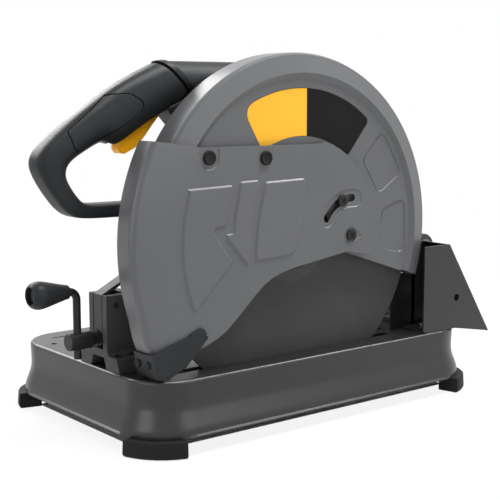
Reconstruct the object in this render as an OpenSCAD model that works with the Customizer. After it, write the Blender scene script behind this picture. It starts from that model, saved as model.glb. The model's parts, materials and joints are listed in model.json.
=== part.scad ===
// Abrasive cut-off saw for a bench or floor, head locked down.
// Millimetres, +Z up. The operator stands on the -X side, the wheel runs on the -Y side.

/* [Base] */
// Length of the pressed base along X, at its upper wall
base_l = 456; // [440:1:560]
// Width of the pressed base along Y, at its upper wall
base_w = 282; // [280:1:340]
// Height of the work surface above the floor
base_top = 74.5; // [66:0.5:90]
// How far the skirt flares outward at its foot
base_flare = 13.5; // [8:0.5:20]
// Corner radius of the upper wall
base_r = 48; // [36:1:60]
// Sheet thickness of the base
sheet = 2.5; // [2:0.1:3]
// Height of the rubber feet
foot_h = 17.5; // [14:0.5:22]

/* [Wheel] */
// Outside diameter of the cut-off wheel
wheel_d = 355; // [305:1:355]
// Wheel thickness
wheel_t = 3; // [2.5:0.1:3.2]
// Wheel bore
wheel_bore = 25.4; // [22:0.1:32]
// Teeth of the spindle gear
gear_teeth = 44; // [40:2:48]
// Teeth of the motor pinion
pinion_teeth = 12; // [12:1:13]
// Tooth module
tooth_m = 1.75; // [1.5:0.05:1.8]

/* [Guard] */
// Outside radius of the fixed guard
guard_r = 191; // [186:1:196]
// Depth of the fixed guard along Y
guard_depth = 37; // [35:0.5:40]
// Outside radius of the swinging cover
cover_r = 214; // [208:1:220]

/* [Motor] */
// Outside radius of the motor housing
motor_r = 52; // [50:1:56]
// Length of the motor housing
motor_l = 136; // [110:1:150]

/* [Vice] */
// Outside radius of the screw thread
screw_r = 8; // [7:0.25:8.5]
// Thread pitch
screw_pitch = 4; // [3:0.5:5]
// Swing radius of the crank
crank_r = 51.5; // [46:0.5:60]
// Height of the movable jaw
jaw_h = 46; // [36:1:48]
// Length of the fence along Y
fence_l = 160; // [130:1:170]

/* [Hidden] */
$fn = 64;
eps = 0.01;

base_cx = 17;
base_edge = 6;
front_x = base_cx - base_l / 2;
rear_x = base_cx + base_l / 2;
wheel_x = -6.6;
wheel_y = -107;
wheel_z = base_top + 129.2;
wheel_r = wheel_d / 2;
face_y = -125;
guard_t = 2;
back_y = face_y + guard_depth;
cover_y = face_y - 3.5;
cover_t = 1.5;
pivot_x = rear_x - 26;
pivot_z = base_top + 92;
pivot_r = 8;
knuckle_r = 17;
handle_y = -50;
gear_a = tooth_m * (gear_teeth + pinion_teeth) / 2;
gear_dir = 44.4;
motor_x = wheel_x + gear_a * cos(gear_dir);
motor_z = wheel_z + gear_a * sin(gear_dir);
case_y0 = -82;
plate_y0 = -56;
plate_y1 = -44;
motor_y1 = plate_y1 + motor_l;
vice_y = -40;
screw_z = base_top + 30.5;
bracket_x0 = front_x + 2;
bracket_x1 = bracket_x0 + 36;
rod_x = front_x - 22;
rod_r = 4;
jaw_x = 22;
fence_x = 50;
fence_px = 72;
fence_py = -78;
fence_bolt_r = 110;
lever_px = bracket_x0 + 11;
lever_pz = base_top + 65;
trig_px = -140;
trig_pz = base_top + 266;
cover_px = wheel_x + 67;
cover_pz = wheel_z - 5.4;
cover_slot_r = 41;
cover_screw_ang = 109.4;
bench_x = 171.2;
bench_cx = -21.2;
bench_y = 84.3;
bench_r = 3.3;
stop_x = 150;
stop_y = -69;
beam_bot = base_top + 71;
spring_r = 13;
spring_wire = 1.5;
spring_pitch = 4;
spring_turns = 4;

grey = [0.45, 0.45, 0.46];
dark = [0.22, 0.22, 0.23];
black = [0.07, 0.07, 0.07];
steel = [0.62, 0.62, 0.64];
alloy = [0.55, 0.56, 0.57];
amber = [0.95, 0.66, 0.10];

// Shared shapes

// A flat outline in X and Z, given thickness from y0 to y1
module xz(y0, y1) {
  translate([0, y1, 0]) rotate([90, 0, 0]) linear_extrude(height = y1 - y0) children();
}

// A round bar along Y
module bar_y(x, z, y0, y1, r) {
  translate([x, y1, z]) rotate([90, 0, 0]) cylinder(r = r, h = y1 - y0);
}

// A round bar along X
module bar_x(y, z, x0, x1, r) {
  translate([x0, y, z]) rotate([0, 90, 0]) cylinder(r = r, h = x1 - x0);
}

// A round bar along Z
module bar_z(x, y, z0, z1, r) {
  translate([x, y, z0]) cylinder(r = r, h = z1 - z0);
}

// A hexagonal bolt head or nut along Z
module hex_z(x, y, z0, z1, r) {
  translate([x, y, z0]) cylinder(r = r, h = z1 - z0, $fn = 6);
}

module box(x0, x1, y0, y1, z0, z1) {
  translate([x0, y0, z0]) cube([x1 - x0, y1 - y0, z1 - z0]);
}

module rounded_rect(l, w, r) {
  square([l - 2 * r, w], center = true);
  square([l, w - 2 * r], center = true);
  for (sx = [-1, 1], sy = [-1, 1])
    translate([sx * (l / 2 - r), sy * (w / 2 - r)]) circle(r);
}

// A wedge of the plane between two angles
module sector(r, a0, a1) {
  n = 8;
  polygon(concat([[0, 0]], [for (i = [0 : n]) let (a = a0 + (a1 - a0) * i / n) 2 * r * [cos(a), sin(a)]]));
}

// Part of a flat ring
module ring_part(r0, r1, a0, a1) {
  intersection() {
    difference() {
      circle(r1, $fn = 180);
      circle(r0, $fn = 180);
    }
    sector(r1, a0, a1);
  }
}

// Points on an arc about c, from angle a0 to a1
function arc_pts(c, r, a0, a1, n) =
  [for (i = [0 : n]) let (a = a0 + (a1 - a0) * i / n) c + r * [cos(a), sin(a)]];

// A curved slot of half width h on radius r, with round ends
module arc_slot(r, h, a0, a1) {
  n = 24;
  polygon(concat(
    arc_pts([0, 0], r + h, a0, a1, n),
    arc_pts(r * [cos(a1), sin(a1)], h, a1 + 15, a1 + 165, 10),
    arc_pts([0, 0], r - h, a1, a0, n),
    arc_pts(r * [cos(a0), sin(a0)], h, a0 + 195, a0 + 345, 10)
  ));
}

// An egg-shaped bead, used as the end of a moulded limb
module bead(x, y, z, r, ry) {
  translate([x, y, z]) scale([r, ry, r]) rotate([90, 0, 0]) sphere(1, $fn = 32);
}

// A cross-headed screw along Y with its head at the near side
module pan_screw_y(x, z, y0, y1, head_r, head_h, r) {
  difference() {
    union() {
      bar_y(x, z, y0, y0 + head_h, head_r);
      bar_y(x, z, y0, y1, r);
    }
    for (a = [45, 135])
      translate([x, y0 - eps, z]) rotate([0, a, 0]) translate([-head_r * 0.6, 0, -0.6])
        cube([head_r * 1.2, head_h * 0.5, 1.2]);
  }
}

// Involute-sided spur gear outline
function inv_pt(rb, t) = [rb * (cos(t) + t * PI / 180 * sin(t)), rb * (sin(t) - t * PI / 180 * cos(t))];
function turn(p, a) = [p[0] * cos(a) - p[1] * sin(a), p[0] * sin(a) + p[1] * cos(a)];
function inv_deg(a) = tan(a) * 180 / PI - a;

module gear_2d(z, m, play) {
  press = 20;
  rp = m * z / 2;
  rb = rp * cos(press);
  ra = rp + 0.9 * m;
  rf = rp - 1.25 * m;
  t0 = rf > rb ? sqrt(pow(rf / rb, 2) - 1) * 180 / PI : 0;
  t1 = sqrt(pow(ra / rb, 2) - 1) * 180 / PI;
  half = 90 / z + inv_deg(press) - play / rp * 90 / PI;
  n = 5;
  flank = [for (i = [0 : n]) turn(inv_pt(rb, t0 + (t1 - t0) * i / n), -half)];
  back = [for (i = [n : -1 : 0]) [flank[i][0], -flank[i][1]]];
  a_root = atan2(flank[0][1], flank[0][0]);
  foot0 = [[rf * cos(a_root), rf * sin(a_root)]];
  foot1 = [[rf * cos(a_root), -rf * sin(a_root)]];
  polygon([for (k = [0 : z - 1]) for (p = concat(foot0, flank, back, foot1)) turn(p, 360 * k / z)]);
}

// Base

function s_step(u) = u * u * (3 - 2 * u);

flare_z0 = foot_h + 12;
flare_z1 = base_top - 25;
flare_n = 8;
flare_pts = [for (i = [0 : flare_n]) let (u = i / flare_n)
  [base_flare * s_step(u), flare_z1 - (flare_z1 - flare_z0) * u]];
edge_pts = [for (a = [90 : -15 : 0])
  [-base_edge + base_edge * cos(a), base_top - base_edge + base_edge * sin(a)]];
edge_in = [for (a = [90 : -15 : 0])
  [-base_edge + (base_edge - sheet) * cos(a), base_top - base_edge + (base_edge - sheet) * sin(a)]];
skirt_out = concat([[-base_edge - 4, base_top]], edge_pts, flare_pts, [[base_flare, foot_h]]);
skirt_in = concat([[-base_edge - 4, base_top - sheet]], edge_in,
  [for (p = flare_pts) [p[0] - sheet, p[1]]], [[base_flare - sheet, foot_h]]);

module skirt_profile() {
  polygon(concat(skirt_out, [for (i = [len(skirt_in) - 1 : -1 : 0]) skirt_in[i]]));
}

corner_x = base_l / 2 - base_r;
corner_y = base_w / 2 - base_r;

// One of the four corners, seen from its centre: quadrant sx, sy
module at_corner(sx, sy) {
  translate([base_cx + sx * corner_x, sy * corner_y, 0])
    mirror([sx < 0 ? 1 : 0, 0, 0]) mirror([0, sy < 0 ? 1 : 0, 0]) children();
}

foot_mid = 45;
foot_half = 31.5;
foot_in = base_r - 12;
foot_out = base_r + base_flare + 2.5;
foot_screw_r = base_r + 2;
foot_screw_at = foot_screw_r * [cos(foot_mid), sin(foot_mid)];

module base_pan() color(dark) difference() {
  union() {
    translate([base_cx, 0, base_top - sheet]) linear_extrude(height = sheet)
      rounded_rect(base_l - 2 * base_edge - 4, base_w - 2 * base_edge - 4, base_r - base_edge - 2);
    for (s = [0, 1]) {
      translate([base_cx, 0, 0]) mirror([s, 0, 0]) translate([base_l / 2, corner_y, 0])
        rotate([90, 0, 0]) linear_extrude(height = 2 * corner_y) skirt_profile();
      translate([base_cx, 0, 0]) mirror([0, s, 0]) translate([-corner_x, base_w / 2, 0])
        rotate([0, 0, 90]) rotate([90, 0, 0])
        linear_extrude(height = 2 * corner_x) skirt_profile();
    }
    for (sx = [-1, 1], sy = [-1, 1])
      at_corner(sx, sy) {
        rotate_extrude(angle = 90, $fn = 96) translate([base_r, 0]) skirt_profile();
        translate([0, 0, foot_h]) linear_extrude(height = sheet)
          intersection() {
            difference() {
              circle(base_r + base_flare - 1);
              circle(foot_in);
            }
            square(base_r + base_flare);
          }
      }
  }
  // Slot that the wheel runs through
  translate([0, 0, base_top - 10]) linear_extrude(height = 20) {
    translate([-160, -113]) square([300, 12]);
    // Curved slot of the fence's second bolt
    translate([fence_px, fence_py]) arc_slot(fence_bolt_r, 5.4, 43, 92);
    translate([fence_px, fence_py]) circle(5.3);
    for (sx = [-1, 1], sy = [-1, 1])
      translate([bench_cx + sx * bench_x, sy * bench_y]) circle(bench_r);
    // Small slot by the far front corner
    translate([-180, 110]) square([18, 3]);
    for (p = bracket_bolt_at) translate(p) circle(3.2);
    for (p = stand_bolt_at) translate(p) circle(4.2);
    for (p = deflector_screw_at) translate(p) circle(2.7);
    translate([stop_x, stop_y]) circle(5.2);
  }
  for (sx = [-1, 1], sy = [-1, 1])
    at_corner(sx, sy)
      bar_z(foot_screw_at[0], foot_screw_at[1], foot_h - 1, foot_h + sheet + 3, 2.7);
}

module rubber_feet() color(black)
  for (sx = [-1, 1], sy = [-1, 1])
    at_corner(sx, sy) difference() {
      rotate([0, 0, foot_mid - foot_half]) rotate_extrude(angle = 2 * foot_half, $fn = 96)
        polygon([[foot_in + 2, 0], [foot_out - 2, 0], [foot_out, 3], [foot_out - 1, foot_h],
          [foot_in + 2, foot_h]]);
      bar_z(foot_screw_at[0], foot_screw_at[1], -1, foot_h + 12, 2.6);
      bar_z(foot_screw_at[0], foot_screw_at[1], -1, 5, 6);
    }

module foot_screws() color(steel)
  for (sx = [-1, 1], sy = [-1, 1])
    at_corner(sx, sy) {
      bar_z(foot_screw_at[0], foot_screw_at[1], 2, 5, 5);
      bar_z(foot_screw_at[0], foot_screw_at[1], 2, foot_h + sheet + 4, 2.5);
    }

// Vice

// Radius of the screw's boss, and half the channel that the lever swings in
boss_r = screw_r + 1;

bracket_bolt_at = [for (x = [10, 27], y = [-26, 26]) [bracket_x0 + x, vice_y + y]];

// Front outline of the bracket: upright cheeks on a bell-shaped foot with a notch under it
module bracket_2d() {
  cheek = 17;
  foot = 32.5;
  bell = 15.5;
  n = 8;
  polygon(concat(
    [[-foot, 0], [-foot, bell - 13]],
    [for (i = [0 : n])
      [-cheek - (foot - cheek) * (1 - sin(90 * i / n)), bell - 13 + 13 * (1 - cos(90 * i / n))]],
    [[-cheek, 76], [cheek, 76]],
    [for (i = [n : -1 : 0])
      [cheek + (foot - cheek) * (1 - sin(90 * i / n)), bell - 13 + 13 * (1 - cos(90 * i / n))]],
    [[foot, bell - 13], [foot, 0], [15, 0], [10.5, 12], [-10.5, 12], [-15, 0]]
  ));
}

module vice_bracket() color(dark) difference() {
  translate([bracket_x0, vice_y, base_top]) rotate([90, 0, 90])
    linear_extrude(height = bracket_x1 - bracket_x0) bracket_2d();
  // Channel between the cheeks, closed by the rear wall
  box(bracket_x0 - 1, bracket_x1 - 9, vice_y - boss_r, vice_y + boss_r, base_top + 20, base_top + 80);
  bar_x(vice_y, screw_z, bracket_x1 - 12, bracket_x1 + 1, screw_r + 0.1);
  bar_y(lever_px, lever_pz, vice_y - 20, vice_y + 20, 3);
  for (p = bracket_bolt_at) {
    bar_z(p[0], p[1], base_top - 1, base_top + 20, 3.2);
    bar_z(p[0], p[1], base_top + 6, base_top + 30, 6.2);
  }
}

module bracket_bolts() color(steel)
  for (p = bracket_bolt_at) {
    hex_z(p[0], p[1], base_top + 6, base_top + 10, 5.6);
    bar_z(p[0], p[1], base_top - 8, base_top + 7, 3);
  }

module lever_pin() color(steel) bar_y(lever_px, lever_pz, vice_y - 18, vice_y + 18, 2.95);

module nut_lever() color(steel) difference() {
  translate([lever_px, vice_y, base_top])
    xz(-screw_r, screw_r) polygon([[-11, 36], [0, 36], [2, 52], [6, 60], [6, 69], [-7, 73], [25, 91],
      [23.5, 93.5], [-11, 76]]);
  bar_x(vice_y, screw_z, lever_px - 17, lever_px + 48, screw_r + 0.3);
  bar_y(lever_px, lever_pz, vice_y - 20, vice_y + 20, 3.02);
}

thread_x0 = rod_x + 17;
thread_x1 = jaw_x - 36;
thread_n = floor((thread_x1 - thread_x0) / screw_pitch);

module vice_screw() color(steel) difference() {
  translate([0, vice_y, screw_z]) rotate([0, 90, 0]) union() {
    translate([0, 0, rod_x - 11]) cylinder(r = boss_r, h = 28);
    rotate_extrude($fn = 48) polygon(concat(
      [[0, thread_x0]],
      [for (i = [0 : thread_n - 1]) for (p = [[screw_r - 1.8, 0], [screw_r - 1.8, 0.32],
        [screw_r, 0.42], [screw_r, 0.68]]) [p[0], thread_x0 + (i + p[1]) * screw_pitch]],
      [[screw_r - 1.8, thread_x0 + thread_n * screw_pitch], [0, thread_x0 + thread_n * screw_pitch]]
    ));
    translate([0, 0, thread_x1 - 5]) cylinder(r = 6, h = 30.5);
  }
  bar_z(rod_x, vice_y, screw_z - 20, screw_z + 20, rod_r);
  bar_z(5, vice_y, screw_z - 20, screw_z + 20, 1.5);
}

rod_bend = 9;

module crank_rod() color(steel) {
  bar_z(rod_x, vice_y, screw_z - 18, screw_z + crank_r - rod_bend, rod_r);
  translate([rod_x - rod_bend, vice_y, screw_z + crank_r - rod_bend]) rotate([90, 0, 0])
    rotate_extrude(angle = 90) translate([rod_bend, 0]) circle(rod_r, $fn = 32);
  bar_x(vice_y, screw_z + crank_r, rod_x - 46, rod_x - rod_bend, rod_r);
  bar_x(vice_y, screw_z + crank_r, rod_x - 48, rod_x - 46, rod_r + 2);
}

module crank_knob() color(black)
  translate([rod_x, vice_y, screw_z + crank_r]) rotate([0, 90, 0]) rotate_extrude($fn = 64)
    polygon([[rod_r + 0.08, -10], [7.2, -10], [7.6, -13], [10.5, -25], [13, -35], [14, -42],
      [13.4, -47], [11.6, -51], [9.5, -52], [9, -45.7], [rod_r + 0.08, -45.7]]);

jaw_t = 9;
jaw_w = 96;

module vice_jaw() color(dark) difference() {
  union() {
    box(jaw_x - jaw_t, jaw_x, vice_y - jaw_w / 2, vice_y + jaw_w / 2, base_top + 1, base_top + 1 + jaw_h);
    box(jaw_x - 34, jaw_x - jaw_t + eps, vice_y - 17, vice_y + 17, base_top + 1, base_top + 1 + jaw_h);
    for (s = [-1, 1])
      translate([0, vice_y + s * 32 + 2, 0]) rotate([90, 0, 0]) linear_extrude(height = 4)
        polygon([[jaw_x - jaw_t, base_top + 1], [jaw_x - 30, base_top + 1], [jaw_x - 30, base_top + 5],
          [jaw_x - jaw_t, base_top + 34]]);
  }
  bar_x(vice_y, screw_z, jaw_x - 40, jaw_x - jaw_t - 4, 6.08);
  // Pocket for the pin that holds the screw's end
  box(jaw_x - 26, jaw_x - jaw_t - 1, vice_y - 11, vice_y + 11, base_top + 12, base_top + 60);
}

module jaw_pin() color(steel) {
  bar_z(5, vice_y, screw_z - 9.5, screw_z + 9.5, 1.45);
  difference() {
    bar_x(vice_y, screw_z, 1.5, 8.5, 9.5);
    bar_x(vice_y, screw_z, 0, 10, 6.05);
  }
}

fence_h = 46;
fence_t = 8;
fence_y0 = -94;

module fence() color(dark) difference() {
  union() {
    box(fence_x, fence_x + fence_t, fence_y0, fence_y0 + fence_l, base_top + 0.2, base_top + fence_h);
    box(fence_x, fence_x + 42, fence_y0, fence_y0 + fence_l, base_top + 0.2, base_top + 8);
    for (y = [-60, -10])
      translate([0, y + 3, 0]) rotate([90, 0, 0]) linear_extrude(height = 6)
        polygon([[fence_x + 4, base_top + 4], [fence_x + 36, base_top + 4], [fence_x + 4, base_top + 40]]);
  }
  bar_z(fence_px, fence_py, base_top - 1, base_top + 20, 5.1);
  bar_z(fence_px, fence_py + fence_bolt_r, base_top - 1, base_top + 20, 5.1);
}

module fence_bolts() color(steel)
  for (y = [fence_py, fence_py + fence_bolt_r]) {
    hex_z(fence_px, y, base_top + 8, base_top + 14.5, 9);
    bar_z(fence_px, y, base_top - 10, base_top + 9, 5);
  }

// Pivot stand, spring and spark deflector

stand_bolt_at = [for (x = [-22, 16], y = [-72, -44]) [pivot_x + x, y]];
wing_x = wheel_x + guard_r;
deflector_screw_at = [for (y = [-126, -108]) [wing_x + 14.6, y]];

module ear_2d() {
  polygon([[pivot_x - 27, base_top + 5], [pivot_x + 22, base_top + 5],
    [pivot_x + knuckle_r, pivot_z], [pivot_x - knuckle_r, pivot_z]]);
  translate([pivot_x, pivot_z]) circle(knuckle_r);
}

module pivot_stand() color(dark) difference() {
  union() {
    box(pivot_x - 31, pivot_x + 24, -90, -26, base_top, base_top + 6);
    xz(-90, -83) ear_2d();
    xz(-33, -26) ear_2d();
  }
  bar_y(pivot_x, pivot_z, -100, 0, pivot_r + 0.02);
  for (p = stand_bolt_at) bar_z(p[0], p[1], base_top - 1, base_top + 10, 4.2);
}

module stand_bolts() color(steel)
  for (p = stand_bolt_at) {
    hex_z(p[0], p[1], base_top + 6, base_top + 11, 7);
    bar_z(p[0], p[1], base_top - 8, base_top + 7, 4);
  }

module pivot_shaft() color(steel) difference() {
  bar_y(pivot_x, pivot_z, -94, -22, pivot_r);
  for (y = [-92, -25.2]) difference() {
    bar_y(pivot_x, pivot_z, y, y + 1.2, pivot_r + 1);
    bar_y(pivot_x, pivot_z, y - 1, y + 3, pivot_r - 1);
  }
}

module shaft_clips() color(steel)
  for (y = [-92, -25.2]) xz(y + 0.1, y + 1.1) translate([pivot_x, pivot_z]) difference() {
    circle(pivot_r + 3);
    circle(pivot_r - 0.95);
    translate([0, -10]) square([9, 20], center = true);
  }

module spring_sleeve() color(black) difference() {
  bar_y(pivot_x, pivot_z, -54.8, -33.1, spring_r * cos(180 / 8) - spring_wire - 0.2);
  bar_y(pivot_x, pivot_z, -60, -30, pivot_r + 0.05);
}

// One unbroken wire: a straight leg, the curls and a second leg
spring_n = 8 * spring_turns;
spring_y0 = -52.5;
function spring_dir(a) = [cos(a), 0, sin(a)];
function spring_tan(a) = [-sin(a), 0, cos(a)];
function coil_at(a) =
  [pivot_x, spring_y0 + spring_pitch * (a - 180) / 360, pivot_z] + spring_r * spring_dir(a);
spring_a0 = 180;
spring_a1 = 180 + 360 * spring_turns + 90;
spring_steps = spring_n + 2;
spring_mid = concat(
  [[coil_at(spring_a0) - 20 * spring_tan(spring_a0), spring_a0]],
  [for (i = [0 : spring_steps])
    let (a = spring_a0 + (spring_a1 - spring_a0) * i / spring_steps) [coil_at(a), a]],
  [[coil_at(spring_a1) - [25, 0, 0], spring_a1]]
);
// Least gap of the wire to itself, from each point to those more than half a curl on
spring_gap = min([for (i = [0 : len(spring_mid) - 1]) for (j = [i + 5 : len(spring_mid) - 1])
  norm(spring_mid[i][0] - spring_mid[j][0])]) - 2 * spring_wire;
echo(str("return spring, least gap to itself ", spring_gap, " mm"));

module return_spring() color(steel) {
  s = 6;
  n = len(spring_mid);
  pts = [for (q = spring_mid) for (k = [0 : s - 1])
    q[0] + spring_wire * (cos(360 * k / s) * spring_dir(q[1]) + sin(360 * k / s) * [0, 1, 0])];
  sides = [for (i = [0 : n - 2]) for (k = [0 : s - 1])
    let (k1 = (k + 1) % s, a = i * s, b = a + s)
    for (t = [[a + k, b + k1, a + k1], [a + k, b + k, b + k1]]) t];
  start = [for (k = [1 : s - 2]) [0, k, k + 1]];
  end = [for (k = [1 : s - 2]) (n - 1) * s * [1, 1, 1] + [0, k + 1, k]];
  polyhedron(points = pts, faces = concat(start, sides, end), convexity = 8);
}

module stop_bolt() color(steel) {
  bar_z(stop_x, stop_y, base_top - 12, beam_bot - 6, 5);
  hex_z(stop_x, stop_y, base_top, base_top + 7, 9);
  hex_z(stop_x, stop_y, beam_bot - 7, beam_bot - 0.2, 8.5);
}

wing_near = -138;
wing_far = -98;
wing_t = 2;
// From the deflector's seat back to the rear edge of the base
wing_tail = rear_x - wing_x;
// How far the base's corner draws in at the near plate, to a tenth
wing_corner = min(base_r, max(0, -wing_near - wing_t - corner_y));
wing_in = round(10 * (base_r - sqrt(base_r * base_r - wing_corner * wing_corner))) / 10;
wing_rear = [[27.1, base_top + 102], [wing_tail + 40.5, base_top - 11]];

module spark_deflector() color(dark) translate([wing_x, 0, 0]) difference() {
  union() {
    xz(wing_near, wing_near + wing_t)
      polygon([[-15.4, base_top + 102], wing_rear[0], wing_rear[1], [wing_tail + 23, base_top - 8],
        [wing_tail + 5.7 - wing_in, base_top],
        [22.6, base_top], [-15.4, base_top + 2]]);
    xz(wing_far, wing_far + wing_t)
      polygon([[5.6, base_top + 102], wing_rear[0], wing_rear[1], [wing_tail + 23, base_top - 8],
        [wing_tail + 5, base_top], [5.6, base_top]]);
    xz(wing_near, wing_far + wing_t)
      polygon([wing_rear[0], wing_rear[1], wing_rear[1] - [2.5, 0], wing_rear[0] - [2.5, 0]]);
    box(-12.4, 22.6, wing_near, wing_far + wing_t, base_top, base_top + 2);
  }
  bar_y(41.1, base_top + 37, wing_near - 1, wing_near + 5, 3.2);
  for (p = deflector_screw_at) bar_z(p[0] - wing_x, p[1], base_top - 1, base_top + 4, 2.7);
}

module deflector_screws() color(steel)
  for (p = deflector_screw_at) {
    bar_z(p[0], p[1], base_top + 2, base_top + 4.6, 5);
    bar_z(p[0], p[1], base_top - 7, base_top + 3, 2.5);
  }

// Drive

spindle_boss_r = 24;
case_wall = 7;
gear_cav = tooth_m * (gear_teeth / 2 + 1) + 2.5;
case_r = gear_cav + case_wall;
rotor_brg_r = 13;
spindle_brg_r = 17;

// Outline shared by the gear case and its cover plate
module case_2d() {
  translate([wheel_x, wheel_z]) circle(case_r);
  translate([motor_x, motor_z]) circle(motor_r);
}

module gear_case() color(alloy) difference() {
  union() {
    xz(case_y0, plate_y0) {
      case_2d();
      polygon([[wheel_x, wheel_z - case_r + 6], [wheel_x + 44, beam_bot + 5], [stop_x - 14, beam_bot],
        [pivot_x, pivot_z - knuckle_r], [pivot_x, pivot_z + knuckle_r], [motor_x + 20, motor_z + 30]]);
      translate([pivot_x, pivot_z]) circle(knuckle_r);
    }
    bar_y(wheel_x, wheel_z, back_y - 4, case_y0 + eps, spindle_boss_r);
    for (a = [60, 150, 240, 330])
      translate([wheel_x + 36 * cos(a), 0, wheel_z + 36 * sin(a)]) bar_y(0, 0, back_y, case_y0 + 1, 7);
    bar_x(-69, wheel_z, wheel_x - case_r - 5, wheel_x - case_r + 3, 10);
  }
  bar_y(wheel_x, wheel_z, case_y0 + 8, plate_y0 + 1, gear_cav);
  bar_y(motor_x, motor_z, case_y0 + 4, plate_y0 + 1, tooth_m * (pinion_teeth / 2 + 1) + 3);
  bar_y(wheel_x, wheel_z, -93, case_y0 + 9, spindle_brg_r);
  bar_y(pivot_x, pivot_z, -100, 0, pivot_r + 0.05);
  bar_x(-69, wheel_z, wheel_x - case_r - 8, wheel_x - 20, 4.1);
  for (a = [60, 150, 240, 330])
    translate([wheel_x + 36 * cos(a), 0, wheel_z + 36 * sin(a)]) bar_y(0, 0, back_y - 3, case_y0 + 5, 2.5);
  for (p = case_screw_at) bar_y(p[0], p[1], plate_y0 - 12, plate_y0 + 1, 2.5);
}

// Turn that keeps the screw below the motor clear of a wide motor shell
axis_x = motor_x - wheel_x;
axis_z = motor_z - wheel_z;
axis_gap = norm([axis_x, axis_z]);
case_screw_r = case_r - 4;
case_clear = motor_r + 5.5;
case_clear_a = acos((axis_gap ^ 2 + case_screw_r ^ 2 - case_clear ^ 2) / (2 * axis_gap * case_screw_r));
case_turn = max(0, case_clear_a - atan2(axis_z, axis_x) - 40);
case_screw_at = [
  [wheel_x + (case_r - 4) * cos(200), wheel_z + (case_r - 4) * sin(200)],
  [wheel_x + (case_r - 4) * cos(265), wheel_z + (case_r - 4) * sin(265)],
  [wheel_x + (case_r - 4) * cos(320 - case_turn), wheel_z + (case_r - 4) * sin(320 - case_turn)],
  [wheel_x + (case_r - 4) * cos(140), wheel_z + (case_r - 4) * sin(140)]
];

bar_end_x = -62;

module gear_plate() color(alloy) difference() {
  xz(plate_y0, plate_y1) {
    case_2d();
    translate([bar_end_x, base_top + 154.5]) square([30, 16]);
  }
  bar_y(wheel_x, wheel_z, plate_y0 - 1, plate_y0 + 10, rotor_brg_r);
  bar_y(motor_x, motor_z, plate_y0 + 2, plate_y1 + 1, rotor_brg_r);
  bar_y(motor_x, motor_z, plate_y0 - 1, plate_y1 + 1, 9);
  for (p = case_screw_at) bar_y(p[0], p[1], plate_y0 - 1, plate_y1 + 1, 2.7);
}

module case_screws() color(steel)
  for (p = case_screw_at) {
    bar_y(p[0], p[1], plate_y1, plate_y1 + 3.5, 4.5);
    bar_y(p[0], p[1], plate_y0 - 11, plate_y1 + 1, 2.5);
  }

motor_wall = 4;
brush_y = motor_y1 - 16;

module motor_housing() color(black) difference() {
  union() {
    bar_y(motor_x, motor_z, plate_y1, motor_y1, motor_r);
    for (s = [-1, 1])
      bar_x(brush_y, motor_z, motor_x + min(0, s * (motor_r + 4)), motor_x + max(0, s * (motor_r + 4)), 11);
  }
  bar_y(motor_x, motor_z, plate_y1 - 1, motor_y1 + 1, motor_r - motor_wall);
  // Bores of the brush holders
  bar_x(brush_y, motor_z, motor_x - motor_r - 10, motor_x + motor_r + 10, 8);
  // Air outlets beside the fan
  for (a = [200 : 18 : 340])
    translate([motor_x, 0, motor_z]) rotate([0, -a, 0]) translate([motor_r - 10, -34, -2]) cube([20, 14, 4]);
}

cap_l = 30;
gland_r = 8;
gland_x = motor_x;
gland_z = motor_z - 30;

module motor_cap() color(black) difference() {
  translate([motor_x, motor_y1, motor_z]) rotate([-90, 0, 0]) rotate_extrude($fn = 96)
    polygon([[0, cap_l], [motor_r - 12, cap_l], [motor_r - 4, cap_l - 5], [motor_r, cap_l - 14], [motor_r, 0],
      [motor_r - 4, 0], [motor_r - 4, cap_l - 15], [motor_r - 7, cap_l - 8], [motor_r - 13, cap_l - 4],
      [18, cap_l - 4], [18, 4], [rotor_brg_r, 4], [rotor_brg_r, 14], [0, 14]]);
  // Air inlets
  for (a = [-60 : 30 : 240])
    translate([motor_x, motor_y1 + cap_l - 12, motor_z]) rotate([0, -a, 0])
      translate([22, 0, -2]) cube([14, 20, 4]);
  bar_y(gland_x, gland_z, motor_y1 + 10, motor_y1 + cap_l + 2, gland_r);
  for (p = cap_screw_at) {
    bar_y(p[0], p[1], motor_y1 - 2, motor_y1 + cap_l + 2, 2.2);
    bar_y(p[0], p[1], motor_y1 + 3, motor_y1 + cap_l + 2, 4.4);
  }
}

cap_screw_at = [for (a = [45, 135, 225, 315])
  [motor_x + (motor_r - 2) * cos(a), motor_z + (motor_r - 2) * sin(a)]];

module cap_screws() color(steel)
  for (p = cap_screw_at) {
    bar_y(p[0], p[1], motor_y1 + 3, motor_y1 + 6, 4);
    bar_y(p[0], p[1], motor_y1, motor_y1 + 4, 2);
  }

core_y0 = -14;
core_y1 = core_y0 + 66;

module stator() color(steel) difference() {
  bar_y(motor_x, motor_z, core_y0, core_y1, motor_r - motor_wall);
  bar_y(motor_x, motor_z, core_y0 - 1, core_y1 + 1, 29);
}

module armature() color([0.5, 0.35, 0.22]) difference() {
  bar_y(motor_x, motor_z, core_y0, core_y1, 28);
  bar_y(motor_x, motor_z, core_y0 - 1, core_y1 + 1, 6);
}

module commutator() color([0.72, 0.45, 0.25]) difference() {
  bar_y(motor_x, motor_z, brush_y - 9, brush_y + 9, 16);
  bar_y(motor_x, motor_z, brush_y - 10, brush_y + 10, 6);
}

module brushes() color(dark)
  for (s = [-1, 1])
    translate([motor_x + s * (motor_r + 8) / 2, brush_y, motor_z])
      cube([motor_r - 25.4, 7, 9], center = true);

module brush_caps() color(black)
  for (s = [-1, 1])
    bar_x(brush_y, motor_z, motor_x + s * (motor_r - 2) - 6.5, motor_x + s * (motor_r - 2) + 6.5, 8);

fan_y = -32;
fan_r = motor_r - motor_wall - 4;

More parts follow.
